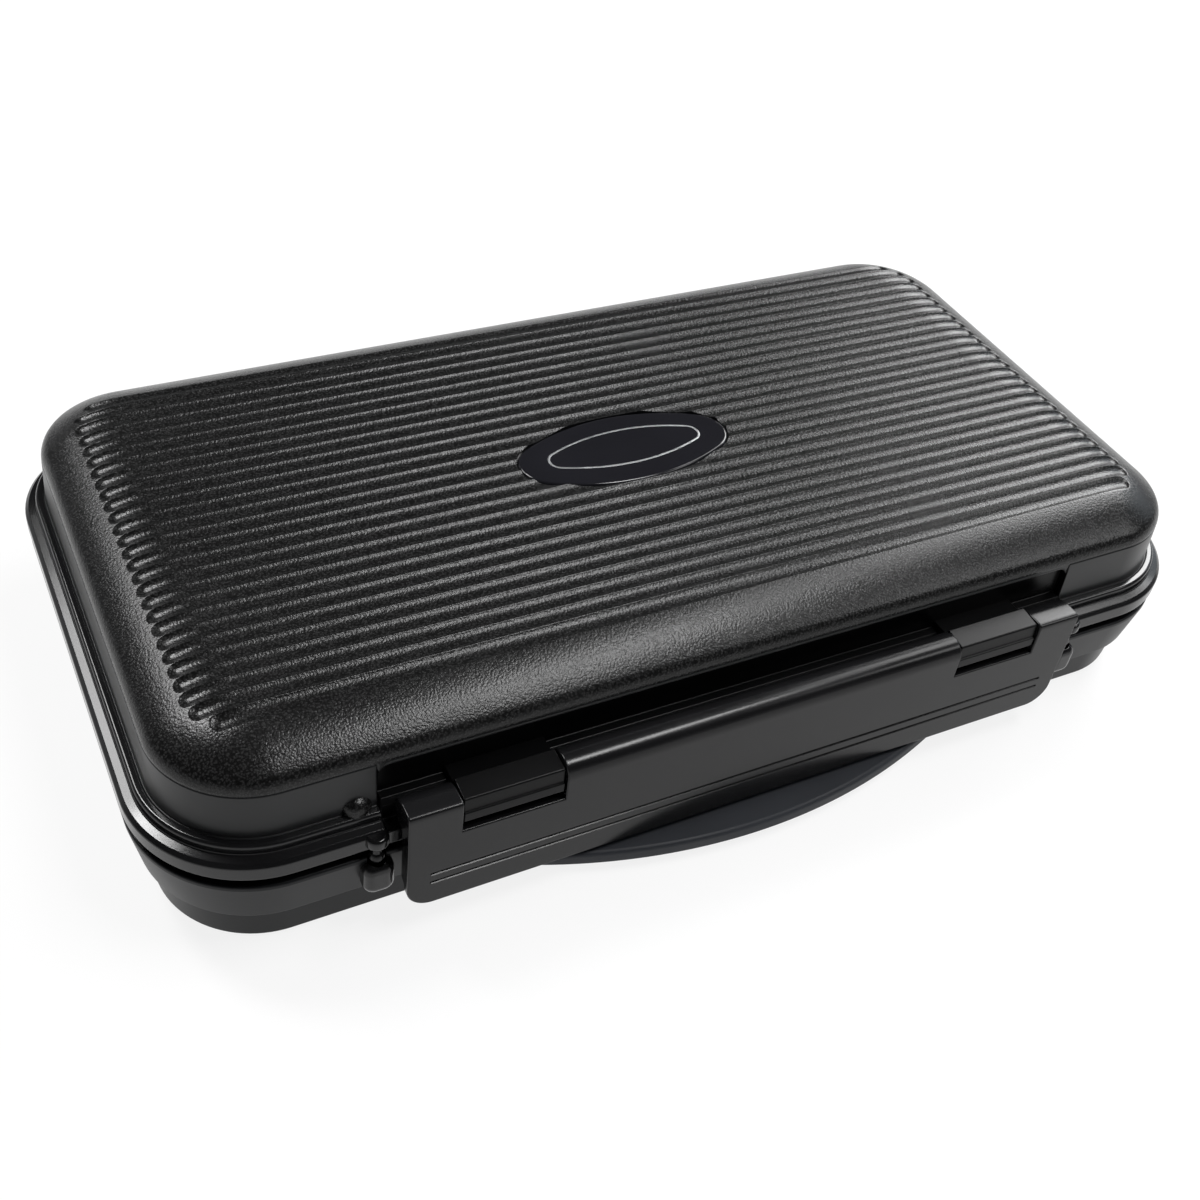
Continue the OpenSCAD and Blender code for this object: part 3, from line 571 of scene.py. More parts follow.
def lid_shell(materials):
    """The lid: its side carried round, the fluted top, then blocks, knuckles, ears, pocket and bores."""
    skin = Skin()
    marks = [s * (RECESS_HALF + d) for s in (-1, 1)
             for d in (-0.5, -0.35, -0.2, -0.1, 0, 0.1, 0.2, 0.35, 0.6)]
    turns = [math.sin(math.pi / 2 * k / 8) for k in range(8)]
    marks += [s * (RECESS_HALF - RECESS_CORNER * (1 - t)) for s in (-1, 1) for t in turns]
    rows = outline(marks)
    ring = carry(skin, rows, lid_section, lid_finishes())
    at = [round_at(row[0], row[1]) for row in rows]
    fluted_top(skin, [row[0] for row in ring], at)
    skin.face([row[-1] for row in ring], SATIN)
    # Faces inside the latch's recess take the near-black finish, which paints the recess's shade.
    back = -HALF_D + RECESS_IN + 0.5
    for i, corners in enumerate(skin.faces):
        x, y, z = np.mean([skin.points[k] for k in corners], axis=0)
        if abs(x) < RECESS_HALF + 0.3 and y < back and LEDGE_Z < z < RECESS_TOP + 0.1:
            skin.finishes[i] = RECESS_SHADE_FINISH
    lid = make("lid_dressed", skin, materials)

    fixtures, gussets, bumps = Skin(), Skin(), Skin()
    for s in (-1, 1):
        latch_block(fixtures, s * NOTCH_X)
        x0, x1 = s * HINGE_X - LID_KNUCKLE_L / 2, s * HINGE_X + LID_KNUCKLE_L / 2
        prism(fixtures, circle_line(KNUCKLE_R, HINGE_Y, HINGE_Z), x0, x1, 0.35, finish=GLOSS)
        prism(gussets, lid_gusset(), x0 + 0.03, x1 - 0.03, 0.3, finish=GLOSS)
        ear = circle_line(2.6, s * STUD_X, STUD_Y)
        prism(fixtures, [p for p in ear if p[1] < -HALF_D - 3.6], LID_Z, LID_Z + 3, 0.9, "z", GLOSS)
    # A knob shows at the left end of the recess only
    knob = circle_line(3.4, -STUD_X - 2.5, -HALF_D + 0.6)
    prism(bumps, knob, LID_Z + 3, LID_Z + 9.6, 2.7, "z", GRAINED)
    for more in (fixtures, gussets, bumps):
        combine(lid, more, "UNION")

    cuts = Skin()
    pocket = [(*oval_point(t, 0), 0) for t in oval_turns()]
    prism(cuts, pocket, BADGE_Z, TOP_Z + 1, 0, "z", GLOSS)
    for s in (-1, 1):
        x0, x1 = s * HINGE_X - HINGE_L / 2, s * HINGE_X + HINGE_L / 2
        prism(cuts, circle_line(PIN_BORE, HINGE_Y, HINGE_Z), x0, x1, 0, finish=GLOSS)
        prism(cuts, circle_line(1.1, s * STUD_X, STUD_Y), LID_Z - 1, LID_Z + 2.4, 0, "z", GLOSS)
    combine(lid, cuts, "DIFFERENCE")
    return dress(lid, "lid", ["lid_shell"])


# ---------- badge ----------

BADGE_END_R = 8
BADGE_A = badge_box[1].x
BADGE_B = badge_box[1].y
BADGE_Z = badge_box[0].z + CROWN
BADGE_RIM = 0.7
BADGE_GAP = 0.3
BADGE_CROWN = 0.4
BADGE_EDGE = 0.75   # thickness of the plate at its border


def oval_turns(end_count=28, side_count=36):
    """Directions of the points round an oval, closer together where its long arcs are."""
    meet = oval_meet(BADGE_A, BADGE_B, BADGE_END_R)[0]
    ends = list(np.linspace(-meet, meet, end_count, endpoint=False))
    sides = list(np.linspace(meet, math.pi - meet, side_count, endpoint=False))
    return ends + sides + [t + math.pi for t in ends] + [t + math.pi for t in sides]


def oval_meet(a, b, end_r):
    """Direction at which an oval's end arcs meet its long arcs, and the radius of the long ones."""
    big_r = ((a - end_r) ** 2 + b * b - end_r ** 2) / (2 * (b - end_r))
    return math.atan2(big_r - b, a - end_r), big_r


def oval_point(turn, out, a=None, b=None, end_r=BADGE_END_R):
    """A point of an oval of four arcs, by the direction that the oval faces there."""
    a, b = a or BADGE_A, b or BADGE_B
    meet, big_r = oval_meet(a, b, end_r)
    c, s = math.cos(turn), math.sin(turn)
    if abs(s) <= math.sin(meet) + 1e-9:
        return (math.copysign(a - end_r, c) + (end_r + out) * c, (end_r + out) * s)
    return ((big_r + out) * c, (big_r + out) * s - math.copysign(big_r - b, s))


def badge_height(x, y):
    """Height of the plate's crowned face."""
    return BADGE_Z + BADGE_EDGE + BADGE_CROWN * (1 - (x / BADGE_A) ** 2 - (y / BADGE_B) ** 2)


def badge(material, ring_material):
    """A crowned oval plate with a rounded border, and a fine plain ring on it."""
    skin = Skin()
    turns = oval_turns()
    loops = [[(*oval_point(t, -BADGE_GAP), BADGE_Z) for t in turns]]
    for k in range(6):
        a = math.pi / 2 * k / 5
        loop = [oval_point(t, -BADGE_GAP - BADGE_RIM * (1 - math.cos(a))) for t in turns]
        loops.append([(x, y, badge_height(x, y) - BADGE_RIM * (1 - math.sin(a))) for x, y in loop])
    edge = [oval_point(t, -BADGE_GAP - BADGE_RIM) for t in turns]
    for k in range(1, 12):
        share = 1 - k / 12
        loops.append([(x * share, y * share, badge_height(x * share, y * share)) for x, y in edge])
    rows = skin.loft(loops)
    skin.face(rows[0])
    skin.face(rows[-1])
    plate = dress(make("badge_dressed", skin, [material]), "lid", ["badge_plate"])

    line = Skin()
    half, rise = 0.26, 0.07
    corners = [(-half, -0.1, 0), (half, -0.1, 0), (half, rise, 0.06), (-half, rise, 0.06)]
    profile = rounded(corners, steps=3)
    ring_a, ring_b, ring_end_r = BADGE_A - 8, BADGE_B - 6.5, 3
    loops = []
    for t in turns:
        points = [oval_point(t, o, ring_a, ring_b, ring_end_r) for o, _ in profile]
        loops.append([(x, y, badge_height(x, y) + up) for (x, y), (_, up) in zip(points, profile)])
    line.loft(loops, path_closes=True)
    ring = dress(make("badge_ring", line, [ring_material]), "lid")
    return plate, ring


# ---------- base ----------


def base_section(_row):
    """Section of the base from the tub's floor over the tongue and round to the bay's ceiling."""
    cover_z = cover_box[1].z
    bay_z = FLOOR_Z - 2.1
    corners = [(-7, FLOOR_Z, 0), (0.4, FLOOR_Z, 3), (1.45, TONGUE_Z, 0.3), (3.3, TONGUE_Z, 0.3),
               (3.3, RIM_Z, 0.2), (RIM_OUT, RIM_Z, 0.9), (RIM_OUT, RIM_Z - 1.2, 0.6),
               (3.45, STEP_Z, 0.5), (1.8, STEP_Z, 0.3), (0.9, 0, 2.5), (-1.3, 0, 0.2),
               (-1.3, cover_z + 0.1, 0.05), (-1.3, bay_z, 0.3), (-7, bay_z, 0)]
    return rounded(corners, closed=False, steps=6)


def base_gusset():
    """Section of the web that joins a hinge knuckle to the base's skirt."""
    out = HALF_D + 3.8
    return [(out, RIM_Z - 9, 0), (out, RIM_Z - 0.4, 0), (HINGE_Y - KNUCKLE_R, HINGE_Z, 0.2),
            (HINGE_Y, HINGE_Z + 0.5, 0), (HINGE_Y + KNUCKLE_R * 0.82, HINGE_Z - KNUCKLE_R * 0.57, 0)]


def base_shell(materials):
    """The base: its wall carried round, closed by the tub's floor and the bay's ceiling; and its fittings."""
    skin = Skin()
    rows = carry(skin, outline(), base_section)
    skin.face([row[0] for row in rows])
    skin.face([row[-1] for row in rows])
    base = make("base_dressed", skin, materials)

    knuckles, gussets, lugs = Skin(), Skin(), Skin()
    lug_top = RIM_Z - 1.3
    lug_half, lug_h = 3.5, 8.6
    lug_front, lug_back = -HALF_D - RIM_OUT - 2.8, -HALF_D - 3
    for s in (-1, 1):
        for t in (-1, 1):
            near = s * HINGE_X + t * (LID_KNUCKLE_L / 2 + 0.3)
            far = s * HINGE_X + t * HINGE_L / 2
            low, high = min(near, far), max(near, far)
            prism(knuckles, circle_line(KNUCKLE_R, HINGE_Y, HINGE_Z), low, high, 0.35, finish=1)
            prism(gussets, base_gusset(), low + 0.03, high - 0.03, 0.3, finish=1)
        x = s * STUD_X
        lug = [(x - lug_half, lug_top, 2.4), (x + lug_half, lug_top, 2.4),
               (x + lug_half, lug_top - lug_h, 2.6), (x - lug_half, lug_top - lug_h, 2.6)]
        prism(lugs, lug, lug_front, lug_back, 2.2, "y", 1, steps=10, edge_steps=7)
    for more in (knuckles, gussets, lugs):
        combine(base, more, "UNION")

    cuts = Skin()
    slot_half = handle_box[1].x - 3 + 0.4
    slot = [(-slot_half, cover_box[1].z, 0.2), (slot_half, cover_box[1].z, 0.2),
            (slot_half, FLOOR_Z - 2.1, 0.4), (-slot_half, FLOOR_Z - 2.1, 0.4)]
    prism(cuts, slot, -HALF_D - 4, -HALF_D + 4, 0, "y", 1)
    for s in (-1, 1):
        x0, x1 = s * HINGE_X - HINGE_L / 2 - 1, s * HINGE_X + HINGE_L / 2 + 1
        prism(cuts, circle_line(PIN_BORE, HINGE_Y, HINGE_Z), x0, x1, 0, finish=1)
        prism(cuts, circle_line(2.1, s * STUD_X, STUD_Y), lug_top - 5.5, TONGUE_Z + 1, 0, "z", 1)
    combine(base, cuts, "DIFFERENCE")
    return dress(base, "base", ["base_shell"])


# ---------- latch ----------


def barrel_line(square_top):
    """Section of the latch over the rod: rounded, or with a square front corner and a flat top."""
    front, back = LATCH_Y, LATCH_Y + LATCH_T
    foot = NOTCH_Z - 3
    line = [(front, foot, 0)]
    start, end = 180, -118
    power, top = (9, 0.8) if square_top else (2.5, 1)
    for k in range(61):
        a = math.radians(start + (end - start) * k / 60)
        c, s = math.cos(a), math.sin(a)
        size = BARREL_R
        if c < 0 and s > 0:
            size *= (abs(c) ** power + abs(s) ** power) ** (-1 / power)
        line.append((AXIS_Y + size * c, AXIS_Z + size * s * (top if s > 0 else 1), 0))
    return line + [(back, AXIS_Z - 4.2, 0), (back, foot, 0)]


def latch(material):
    """The front latch: panel, barrels with flat-topped ends, hook, lip, returns and finger grooves."""
    half, front, back = LATCH_HALF, LATCH_Y, LATCH_Y + LATCH_T
    skin = Skin()
    panel = [(-half, LATCH_Z, 6), (half, LATCH_Z, 6), (half, NOTCH_Z, 0.3), (-half, NOTCH_Z, 0.3)]
    prism(skin, panel, front, back, 0.45, "y", steps=14)
    piece = make("latch_dressed", skin, [material])

    barrels, hooks, sides = Skin(), Skin(), Skin()
    notch_in, notch_out = NOTCH_X - NOTCH_W / 2, NOTCH_X + NOTCH_W / 2
    prism(barrels, barrel_line(False), -notch_in, notch_in, 0.4)
    prism(barrels, barrel_line(True), notch_out, half, 0.4)
    prism(barrels, barrel_line(True), -half, -notch_out, 0.4)
    tip = -(HALF_D + RIM_OUT + 0.4)
    hook_z = 15.5
    hook = [(back - 0.6, hook_z - 1.2, 0), (tip - 0.6, hook_z, 0.4), (tip, hook_z + 1, 0.4),
            (tip, hook_z + 3, 0.4), (back - 0.6, hook_z + 3, 0)]
    prism(hooks, hook, -half + 12, half - 12, 0.4)
    lip_low, lip_high = LATCH_Z + 0.05, LATCH_Z + 1.6
    lip = [(front + 1, lip_low, 0), (back + 1.2, lip_low, 0.4), (back + 1.2, lip_high, 0.4),
           (front + 1, lip_high, 0)]
    prism(hooks, lip, -half + 6, half - 6, 0.3)
    for s in (-1, 1):
        low, high = sorted((s * (half - 0.02), s * (half - 1.6)))
        rim = [(front + 1, LATCH_Z + 6, 0), (back + 1.6, LATCH_Z + 7.5, 1.2), (back + 1.6, AXIS_Z - 1, 0),
               (front + 1, AXIS_Z - 1, 0)]
        prism(sides, rim, low, high, 0.3)
    for more in (barrels, hooks, sides):
        combine(piece, more, "UNION")

    cuts = Skin()
    reach = half - 5
    for z in (LATCH_Z + 6.75, LATCH_Z + 9.55):
        groove = [(front - 1, z - 0.15, 0), (front, z - 0.15, 0), (front + 0.5, z + 0.08, 0.05),
                  (front + 0.5, z + 0.5, 0.1), (front, z + 0.75, 0), (front - 1, z + 0.75, 0)]
        prism(cuts, groove, -reach, reach, 0.3)
    bore = Skin()
    prism(bore, circle_line(PIN_BORE, AXIS_Y, AXIS_Z), -half + 3.2, half + 1, 0)
    combine(piece, cuts, "DIFFERENCE")
    combine(piece, bore, "DIFFERENCE")
    return dress(piece, "latch", ["front_latch"])


# ---------- handle ----------


def handle(material):
    """The bow handle: a bowed grip between two arms, with its edges rounded all round."""
    arm_out, arm_w, tab_w, tab_l = 66, 13, 3, 6
    bow_r = 147
    grip_y = -(HALF_D - 0.5)
    end_y = handle_box[1].y
    centre_y = handle_box[0].y + bow_r
    count = 48
    xs = [-arm_out + 1.6 + 2 * (arm_out - 1.6) * k / count for k in range(count + 1)]
    bow = [(x, centre_y - math.sqrt(bow_r ** 2 - x ** 2), 0) for x in xs]
    edge_y = centre_y - math.sqrt(bow_r ** 2 - arm_out ** 2)
    tab_y = end_y - tab_l
    right = [(arm_out, edge_y + 1.5, 1.0), (arm_out, tab_y, 0), (arm_out + tab_w, tab_y, 0),
             (arm_out + tab_w, end_y, 0), (arm_out - arm_w, end_y, 0), (arm_out - arm_w, grip_y, 2)]
    left = [(-x, y, r) for x, y, r in right[::-1]]
    skin = Skin()
    prism(skin, bow + right + left, handle_box[0].z, handle_box[1].z, 1.1, "z", steps=8, edge_steps=6)
    return dress(make("handle_dressed", skin, [material]), "handle", ["carry_handle"])


# ---------- small pieces ----------


def snap_stud(side, material):
    """A stud with a ball end that snaps into the lug under it."""
    low, high = stud_boxes[0 if side < 0 else 1]
    radius = (high.x - low.x) / 2
    ball_z = low.z + radius
    rod = 1.05
    profile = [(0, low.z)]
    for k in range(1, 14):
        a = -math.pi / 2 + math.pi * 0.78 * k / 13
        profile.append((radius * math.cos(a), ball_z + radius * math.sin(a)))
    profile += [(rod, ball_z + 1.6), (rod, high.z - 0.1), (rod - 0.1, high.z), (0, high.z)]
    skin = Skin()
    lathe(skin, profile, (side * STUD_X, STUD_Y))
    name = "snap_stud_left" if side < 0 else "snap_stud_right"
    return dress(make(name + "_dressed", skin, [material]), "lid", [name])


def seal(material):
    """The rubber seal in the lid's rim, with a rounded lower face."""
    skin = Skin()
    out0, out1 = seal_box[1].x - HALF_W - 1.9, seal_box[1].x - HALF_W
    top = seal_box[1].z
    line = rounded([(out0, LID_Z, 0.6), (out1, LID_Z, 0.6), (out1, top, 0.15), (out0, top, 0.15)])
    carry(skin, outline(), lambda row: line, loops_close=True)
    return dress(make("seal_dressed", skin, [material]), "lid", ["seal_gasket"])


def foam(material):
    """The foam board in the lid, with soft edges and slits that gape a little."""
    (x0, y0, z0), (x1, y1, z1) = foam_box
    skin = Skin()
    plan = [(x0, y0, 3.4), (x1, y0, 3.4), (x1, y1, 3.4), (x0, y1, 3.4)]
    prism(skin, plan, z0, z1, 1.2, "z", steps=8)
    board = make("foam_dressed", skin, [material])
    slits = Skin()
    for i in range(-3, 4):
        y = i * 12
        slit = [(y - 0.9, z0 - 1, 0), (y + 0.9, z0 - 1, 0), (y + 0.45, z0 + 0.4, 0.3),
                (y + 0.05, z0 + 4, 0), (y - 0.05, z0 + 4, 0), (y - 0.45, z0 + 0.4, 0.3)]
        prism(slits, slit, x0 + 7.4, x1 - 7.4, 0.04)
    combine(board, slits, "DIFFERENCE")
    return dress(board, "lid", ["hook_foam"])


# ---------- materials ----------


def material(name):
    """A material with its node tree, principled shader and object coordinates."""
    made = bpy.data.materials.new(name)
    made.use_nodes = True
    tree = made.node_tree
    shader = tree.nodes["Principled BSDF"]
    place_node = tree.nodes.new("ShaderNodeTexCoord")
    return made, tree, shader, place_node.outputs["Object"]


def noise(tree, where, scale, detail=2.0, rough=0.5, distortion=0.0):
    node = tree.nodes.new("ShaderNodeTexNoise")
    node.inputs["Scale"].default_value = scale
    node.inputs["Detail"].default_value = detail
    node.inputs["Roughness"].default_value = rough
    node.inputs["Distortion"].default_value = distortion
    tree.links.new(where, node.inputs["Vector"])
    return node.outputs["Fac"]


def remap(tree, value, low, high, to_low, to_high):
    node = tree.nodes.new("ShaderNodeMapRange")
    node.inputs["From Min"].default_value = low
    node.inputs["From Max"].default_value = high
    node.inputs["To Min"].default_value = to_low
    node.inputs["To Max"].default_value = to_high
    tree.links.new(value, node.inputs["Value"])
    return node.outputs["Result"]


def tint(tree, value, dark, light):
    """A colour between two, by a value from 0 to 1."""
    node = tree.nodes.new("ShaderNodeMix")
    node.data_type = "RGBA"
    node.inputs["A"].default_value = (*dark, 1)
    node.inputs["B"].default_value = (*light, 1)
    tree.links.new(value, node.inputs["Factor"])
    return node.outputs["Result"]


def bump(tree, height, distance, strength=1.0, normal=None):
    node = tree.nodes.new("ShaderNodeBump")
    node.inputs["Strength"].default_value = strength
    node.inputs["Distance"].default_value = distance
    tree.links.new(height, node.inputs["Height"])
    if normal is not None:
        tree.links.new(normal, node.inputs["Normal"])
    return node.outputs["Normal"]


def plastic(name, colour, rough, grain=0.0, grain_size=0.6, specular=0.35, ripple=0.0):
    """Moulded plastic: a fine or leather-like grain, faint flow ripples, and uneven gloss."""
    made, tree, shader, where = material(name)
    patches = noise(tree, where, 38, 3)
    fine = noise(tree, where, 1 / (grain_size * MM), 2.5, 0.6)
    dark = tuple(c * 0.86 for c in colour)
    light = tuple(c * 1.16 for c in colour)
    shade = tint(tree, remap(tree, patches, 0.3, 0.7, 0, 1), dark, light)
    tree.links.new(shade, shader.inputs["Base Color"])
    tree.links.new(remap(tree, patches, 0.3, 0.7, rough * 0.88, rough * 1.12), shader.inputs["Roughness"])
    normal = bump(tree, fine, max(grain, 0.004) * MM)
    if ripple:
        normal = bump(tree, noise(tree, where, 90, 1), ripple * MM, normal=normal)
    tree.links.new(normal, shader.inputs["Normal"])
    shader.inputs["Specular IOR Level"].default_value = specular
    return made


def grain_with_painted_glints(name, colour, rough):
    """The dome's leather-like grain: a bump of pebbles of about half a millimetre, with painted glints on the
    pebble tops and painted shade in the creases between them.
    """
    made, tree, shader, where = material(name)
    cells = tree.nodes.new("ShaderNodeTexVoronoi")
    cells.feature = "SMOOTH_F1"
    cells.inputs["Scale"].default_value = 1900
    cells.inputs["Smoothness"].default_value = 0.25
    warped = tree.nodes.new("ShaderNodeVectorMath")
    warped.operation = "ADD"
    shift = tree.nodes.new("ShaderNodeTexNoise")
    shift.inputs["Scale"].default_value = 1500
    tree.links.new(where, shift.inputs["Vector"])
    scaled = tree.nodes.new("ShaderNodeVectorMath")
    scaled.operation = "SCALE"
    scaled.inputs["Scale"].default_value = 0.0006
    tree.links.new(shift.outputs["Color"], scaled.inputs[0])
    tree.links.new(where, warped.inputs[0])
    tree.links.new(scaled.outputs["Vector"], warped.inputs[1])
    tree.links.new(warped.outputs["Vector"], cells.inputs["Vector"])
    pebble_bumps_and_glints = cells.outputs["Distance"]
    fine = noise(tree, where, 2200, 1)
    height = tree.nodes.new("ShaderNodeMath")
    height.operation = "MULTIPLY_ADD"
    height.inputs[1].default_value = -1.4
    tree.links.new(pebble_bumps_and_glints, height.inputs[0])
    tree.links.new(fine, height.inputs[2])
    patches = noise(tree, where, 30, 3)
    dark = tuple(c * 0.5 for c in colour)
    light = tuple(c * 3.6 for c in colour)
    # Pale pebble tops are painted glints, and the darker creases between them are painted shade.
    shade = tint(tree, remap(tree, pebble_bumps_and_glints, 0.12, 0.6, 1, 0), dark, light)
    tree.links.new(shade, shader.inputs["Base Color"])
    tree.links.new(remap(tree, patches, 0.3, 0.7, rough * 0.92, rough * 1.08), shader.inputs["Roughness"])
    tree.links.new(bump(tree, height.outputs["Value"], 0.03 * MM), shader.inputs["Normal"])
    shader.inputs["Specular IOR Level"].default_value = 0.27
    return made


def steel(name, rough, shade=1.0):
    """Brushed metal; shade darkens its colour."""
    made, tree, shader, where = material(name)
    shader.inputs["Metallic"].default_value = 1
    grain = noise(tree, where, 900, 2)
    dark, light = tuple(shade * c for c in (0.5, 0.51, 0.52)), tuple(shade * c for c in (0.66, 0.67, 0.68))
    tree.links.new(tint(tree, grain, dark, light), shader.inputs["Base Color"])
    tree.links.new(remap(tree, grain, 0.3, 0.7, rough * 0.8, rough * 1.2), shader.inputs["Roughness"])
    tree.links.new(bump(tree, grain, 0.01 * MM), shader.inputs["Normal"])
    return made


def frosted(name):
    """The tray's translucent plastic, milky where it is thick."""
    made, tree, shader, where = material(name)
    patches = noise(tree, where, 60, 2)
    tree.links.new(tint(tree, patches, (0.66, 0.7, 0.73), (0.78, 0.81, 0.84)), shader.inputs["Base Color"])
    tree.links.new(remap(tree, patches, 0.3, 0.7, 0.28, 0.4), shader.inputs["Roughness"])
    tree.links.new(bump(tree, noise(tree, where, 1200, 2), 0.01 * MM), shader.inputs["Normal"])
    shader.inputs["Transmission Weight"].default_value = 0.35
    shader.inputs["IOR"].default_value = 1.49
    return made


def foam_look(name):
    """Closed-cell foam: dull, with fine cells."""
    made, tree, shader, where = material(name)
    cells = tree.nodes.new("ShaderNodeTexVoronoi")
    cells.inputs["Scale"].default_value = 1300
    tree.links.new(where, cells.inputs["Vector"])
    patches = noise(tree, where, 120, 3)
    shade = tint(tree, patches, (0.085, 0.09, 0.1), (0.14, 0.145, 0.155))
    tree.links.new(shade, shader.inputs["Base Color"])
    tree.links.new(bump(tree, cells.outputs["Distance"], 0.12 * MM), shader.inputs["Normal"])
    shader.inputs["Roughness"].default_value = 0.92
    shader.inputs["Sheen Weight"].default_value = 0.15
    return made


dome_black = grain_with_painted_glints("grained_black", (0.006, 0.006, 0.006), 0.26)
band_black = plastic("band_black", (0.013, 0.0135, 0.014), 0.34, 0.01, 0.5, specular=0.28)
rim_black = plastic("rim_black", (0.006, 0.006, 0.0065), 0.16, 0.004, 0.8, ripple=0.02)
case_black = plastic("case_black", (0.006, 0.0065, 0.0075), 0.36, 0.012, 0.5, specular=0.14)
# A near-black colour that paints the shade inside the latch's recess.
painted_recess_shade = plastic("recess_painted_shade_black", (0.002, 0.002, 0.0022), 0.3, 0.01, 0.5, specular=0.12)
latch_black = plastic("latch_black", (0.006, 0.006, 0.0065), 0.22, 0.006, 0.7, 0.24, ripple=0.03)
# The handle's lighter, bluish colour paints a cool reflection onto it.
handle_black = plastic("handle_black", (0.017, 0.019, 0.024), 0.55, 0.02, 0.5, specular=0.3)
badge_black = plastic("badge_gloss", (0.008, 0.008, 0.01), 0.09, 0.003, 1.2, ripple=0.02)
ring_silver = steel("badge_ring_silver", 0.4, 0.75)
seal_black = plastic("seal_rubber", (0.02, 0.02, 0.02), 0.7, 0.02, 0.7)
pin_steel = steel("pin_steel", 0.28)
screw_steel = steel("screw_steel", 0.34)
tray_clear = frosted("tray_clear")
foam_grey = foam_look("foam_board")

# ---------- the pieces ----------

lid_shell([dome_black, band_black, rim_black, painted_recess_shade])
badge(badge_black, ring_silver)
base_shell([case_black, rim_black])
latch(latch_black)
handle(handle_black)
for side in (-1, 1):
    snap_stud(side, latch_black)
seal(seal_black)
foam(foam_grey)

CAD_LOOKS = {"bottom_cover": case_black, "cover_screws": screw_steel, "hinge_pin_left": pin_steel,
             "hinge_pin_right": pin_steel, "latch_rod": pin_steel, "compartment_tray": tray_clear}
for n in range(1, 7):
    CAD_LOOKS[f"tray_divider_{n}"] = tray_clear
for node, look in CAD_LOOKS.items():
    mesh = frame["nodes"][node].data
    mesh.materials.clear()
    mesh.materials.append(look)

# ---------- floor, light and camera ----------


def floor():
    bpy.ops.mesh.primitive_plane_add(size=12, location=(0, 0, -0.0002))
    plane = bpy.context.object
    plane.name = "floor"
    made, tree, shader, _ = material("floor_white")
    shader.inputs["Base Color"].default_value = (0.9, 0.9, 0.9, 1)
    shader.inputs["Roughness"].default_value = 0.9
    shader.inputs["Specular IOR Level"].default_value = 0.0
    glow = tree.nodes.new("ShaderNodeEmission")
    glow.inputs["Strength"].default_value = 1
    rays = tree.nodes.new("ShaderNodeLightPath")
    seen = tree.nodes.new("ShaderNodeMath")
    seen.operation = "MAXIMUM"
    tree.links.new(rays.outputs["Is Camera Ray"], seen.inputs[0])
    tree.links.new(rays.outputs["Is Glossy Ray"], seen.inputs[1])
    clear = tree.nodes.new("ShaderNodeMath")
    clear.operation = "MAXIMUM"
    tree.links.new(seen.outputs["Value"], clear.inputs[0])
    tree.links.new(rays.outputs["Is Transmission Ray"], clear.inputs[1])
    share = tree.nodes.new("ShaderNodeMath")
    share.operation = "MULTIPLY"
    share.inputs[1].default_value = 0.85
    tree.links.new(clear.outputs["Value"], share.inputs[0])
    mix = tree.nodes.new("ShaderNodeMixShader")
    tree.links.new(share.outputs["Value"], mix.inputs["Fac"])
    tree.links.new(shader.outputs["BSDF"], mix.inputs[1])
    tree.links.new(glow.outputs["Emission"], mix.inputs[2])
    tree.links.new(mix.outputs["Shader"], tree.nodes["Material Output"].inputs["Surface"])
    plane.data.materials.append(made)


def softbox(name, place_m, size, power, aim=(0, 0, 0.03), colour=(1, 1, 1)):
    """A rectangular lamp, in metres, that faces the case."""
    data = bpy.data.lights.new(name, "AREA")
    data.shape = "RECTANGLE"
    data.size, data.size_y = size
    data.energy = power
    data.color = colour
    lamp = bpy.data.objects.new(name, data)
    lamp.location = place_m
    lamp.rotation_mode = "QUATERNION"
    lamp.rotation_quaternion = (Vector(aim) - Vector(place_m)).to_track_quat("-Z", "Y")
    bpy.context.scene.collection.objects.link(lamp)


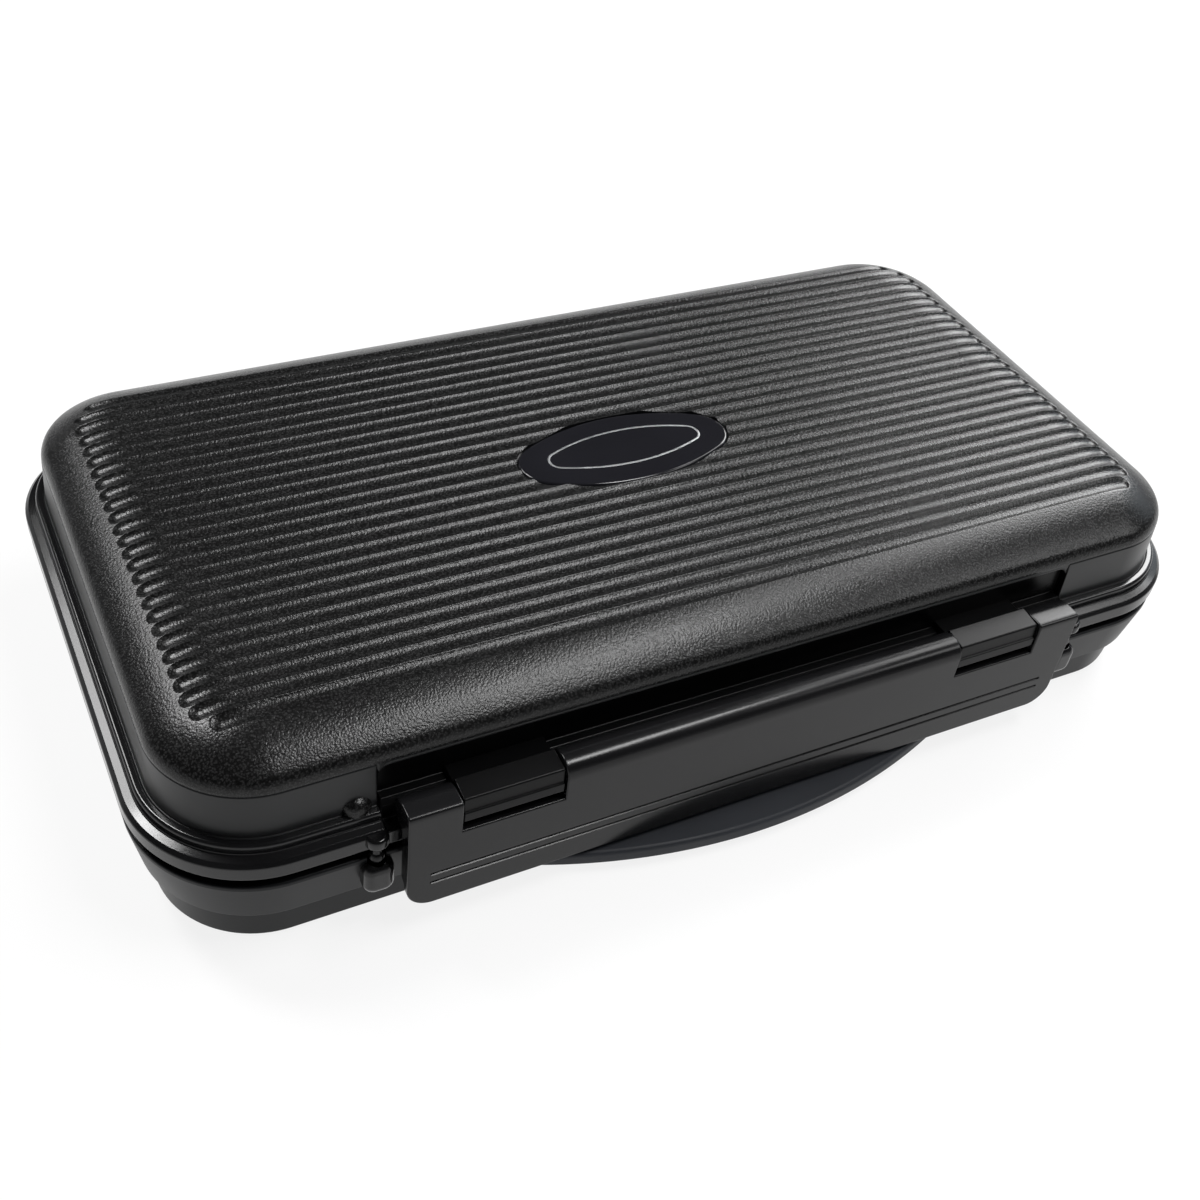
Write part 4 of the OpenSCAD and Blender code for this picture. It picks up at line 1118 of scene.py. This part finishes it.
def world():
    """A studio with a pale sweep round the horizon and a dim ceiling."""
    sky = bpy.data.worlds.new("studio")
    bpy.context.scene.world = sky
    sky.use_nodes = True
    tree = sky.node_tree
    where = tree.nodes.new("ShaderNodeTexCoord")
    split = tree.nodes.new("ShaderNodeSeparateXYZ")
    tree.links.new(where.outputs["Generated"], split.inputs["Vector"])
    up = remap(tree, split.outputs["Z"], 0.12, 0.36, 1, 0)
    side = remap(tree, split.outputs["X"], -0.7, 0.7, 0.6, 0.25)
    level = tree.nodes.new("ShaderNodeMath")
    level.operation = "MULTIPLY_ADD"
    level.inputs[2].default_value = 0.04
    tree.links.new(up, level.inputs[0])
    tree.links.new(side, level.inputs[1])
    tree.nodes["Background"].inputs["Color"].default_value = (0.97, 0.98, 1, 1)
    tree.links.new(level.outputs["Value"], tree.nodes["Background"].inputs["Strength"])


def camera():
    """The photograph's view: from the left front, above, with a slight roll."""
    turn, rise, roll = math.radians(-31.82), math.radians(42.37), math.radians(8.13)
    back = Vector((math.sin(turn) * math.cos(rise), -math.cos(turn) * math.cos(rise), math.sin(rise)))
    right = Vector((math.cos(turn), math.sin(turn), 0))
    up = back.cross(right)
    across = right * math.cos(roll) + up * math.sin(roll)
    upright = up * math.cos(roll) - right * math.sin(roll)
    data = bpy.data.cameras.new("camera")
    data.lens = 44.76
    data.sensor_width = 36
    data.clip_start = 0.01
    view = bpy.data.objects.new("camera", data)
    view.matrix_world = Matrix.Translation((-0.15708, -0.25163, 0.27117)) @ Matrix(
        (across, upright, back)).transposed().to_4x4()
    bpy.context.scene.collection.objects.link(view)
    bpy.context.scene.camera = view


floor()
world()
softbox("overhead", (0.27, -0.18, 0.85), (0.44, 0.12), 4.7)
softbox("front_right", (0.66, -0.42, 0.68), (0.3, 0.25), 1.3)
softbox("right_high", (0.74, 0.2, 0.76), (0.3, 0.5), 3.6)
softbox("right_rear", (0.9, 0.5, 0.62), (0.45, 0.5), 7.4)
softbox("left_high", (-0.355, 0.42, 0.85), (0.16, 0.26), 4.6)
softbox("left_rear", (-0.45, 0.62, 0.7), (0.26, 0.26), 3)
softbox("right_low", (1.0, 0.15, 0.45), (0.5, 0.4), 0.8, colour=(0.82, 0.92, 1))
camera()
bpy.context.scene.view_settings.view_transform = "Standard"
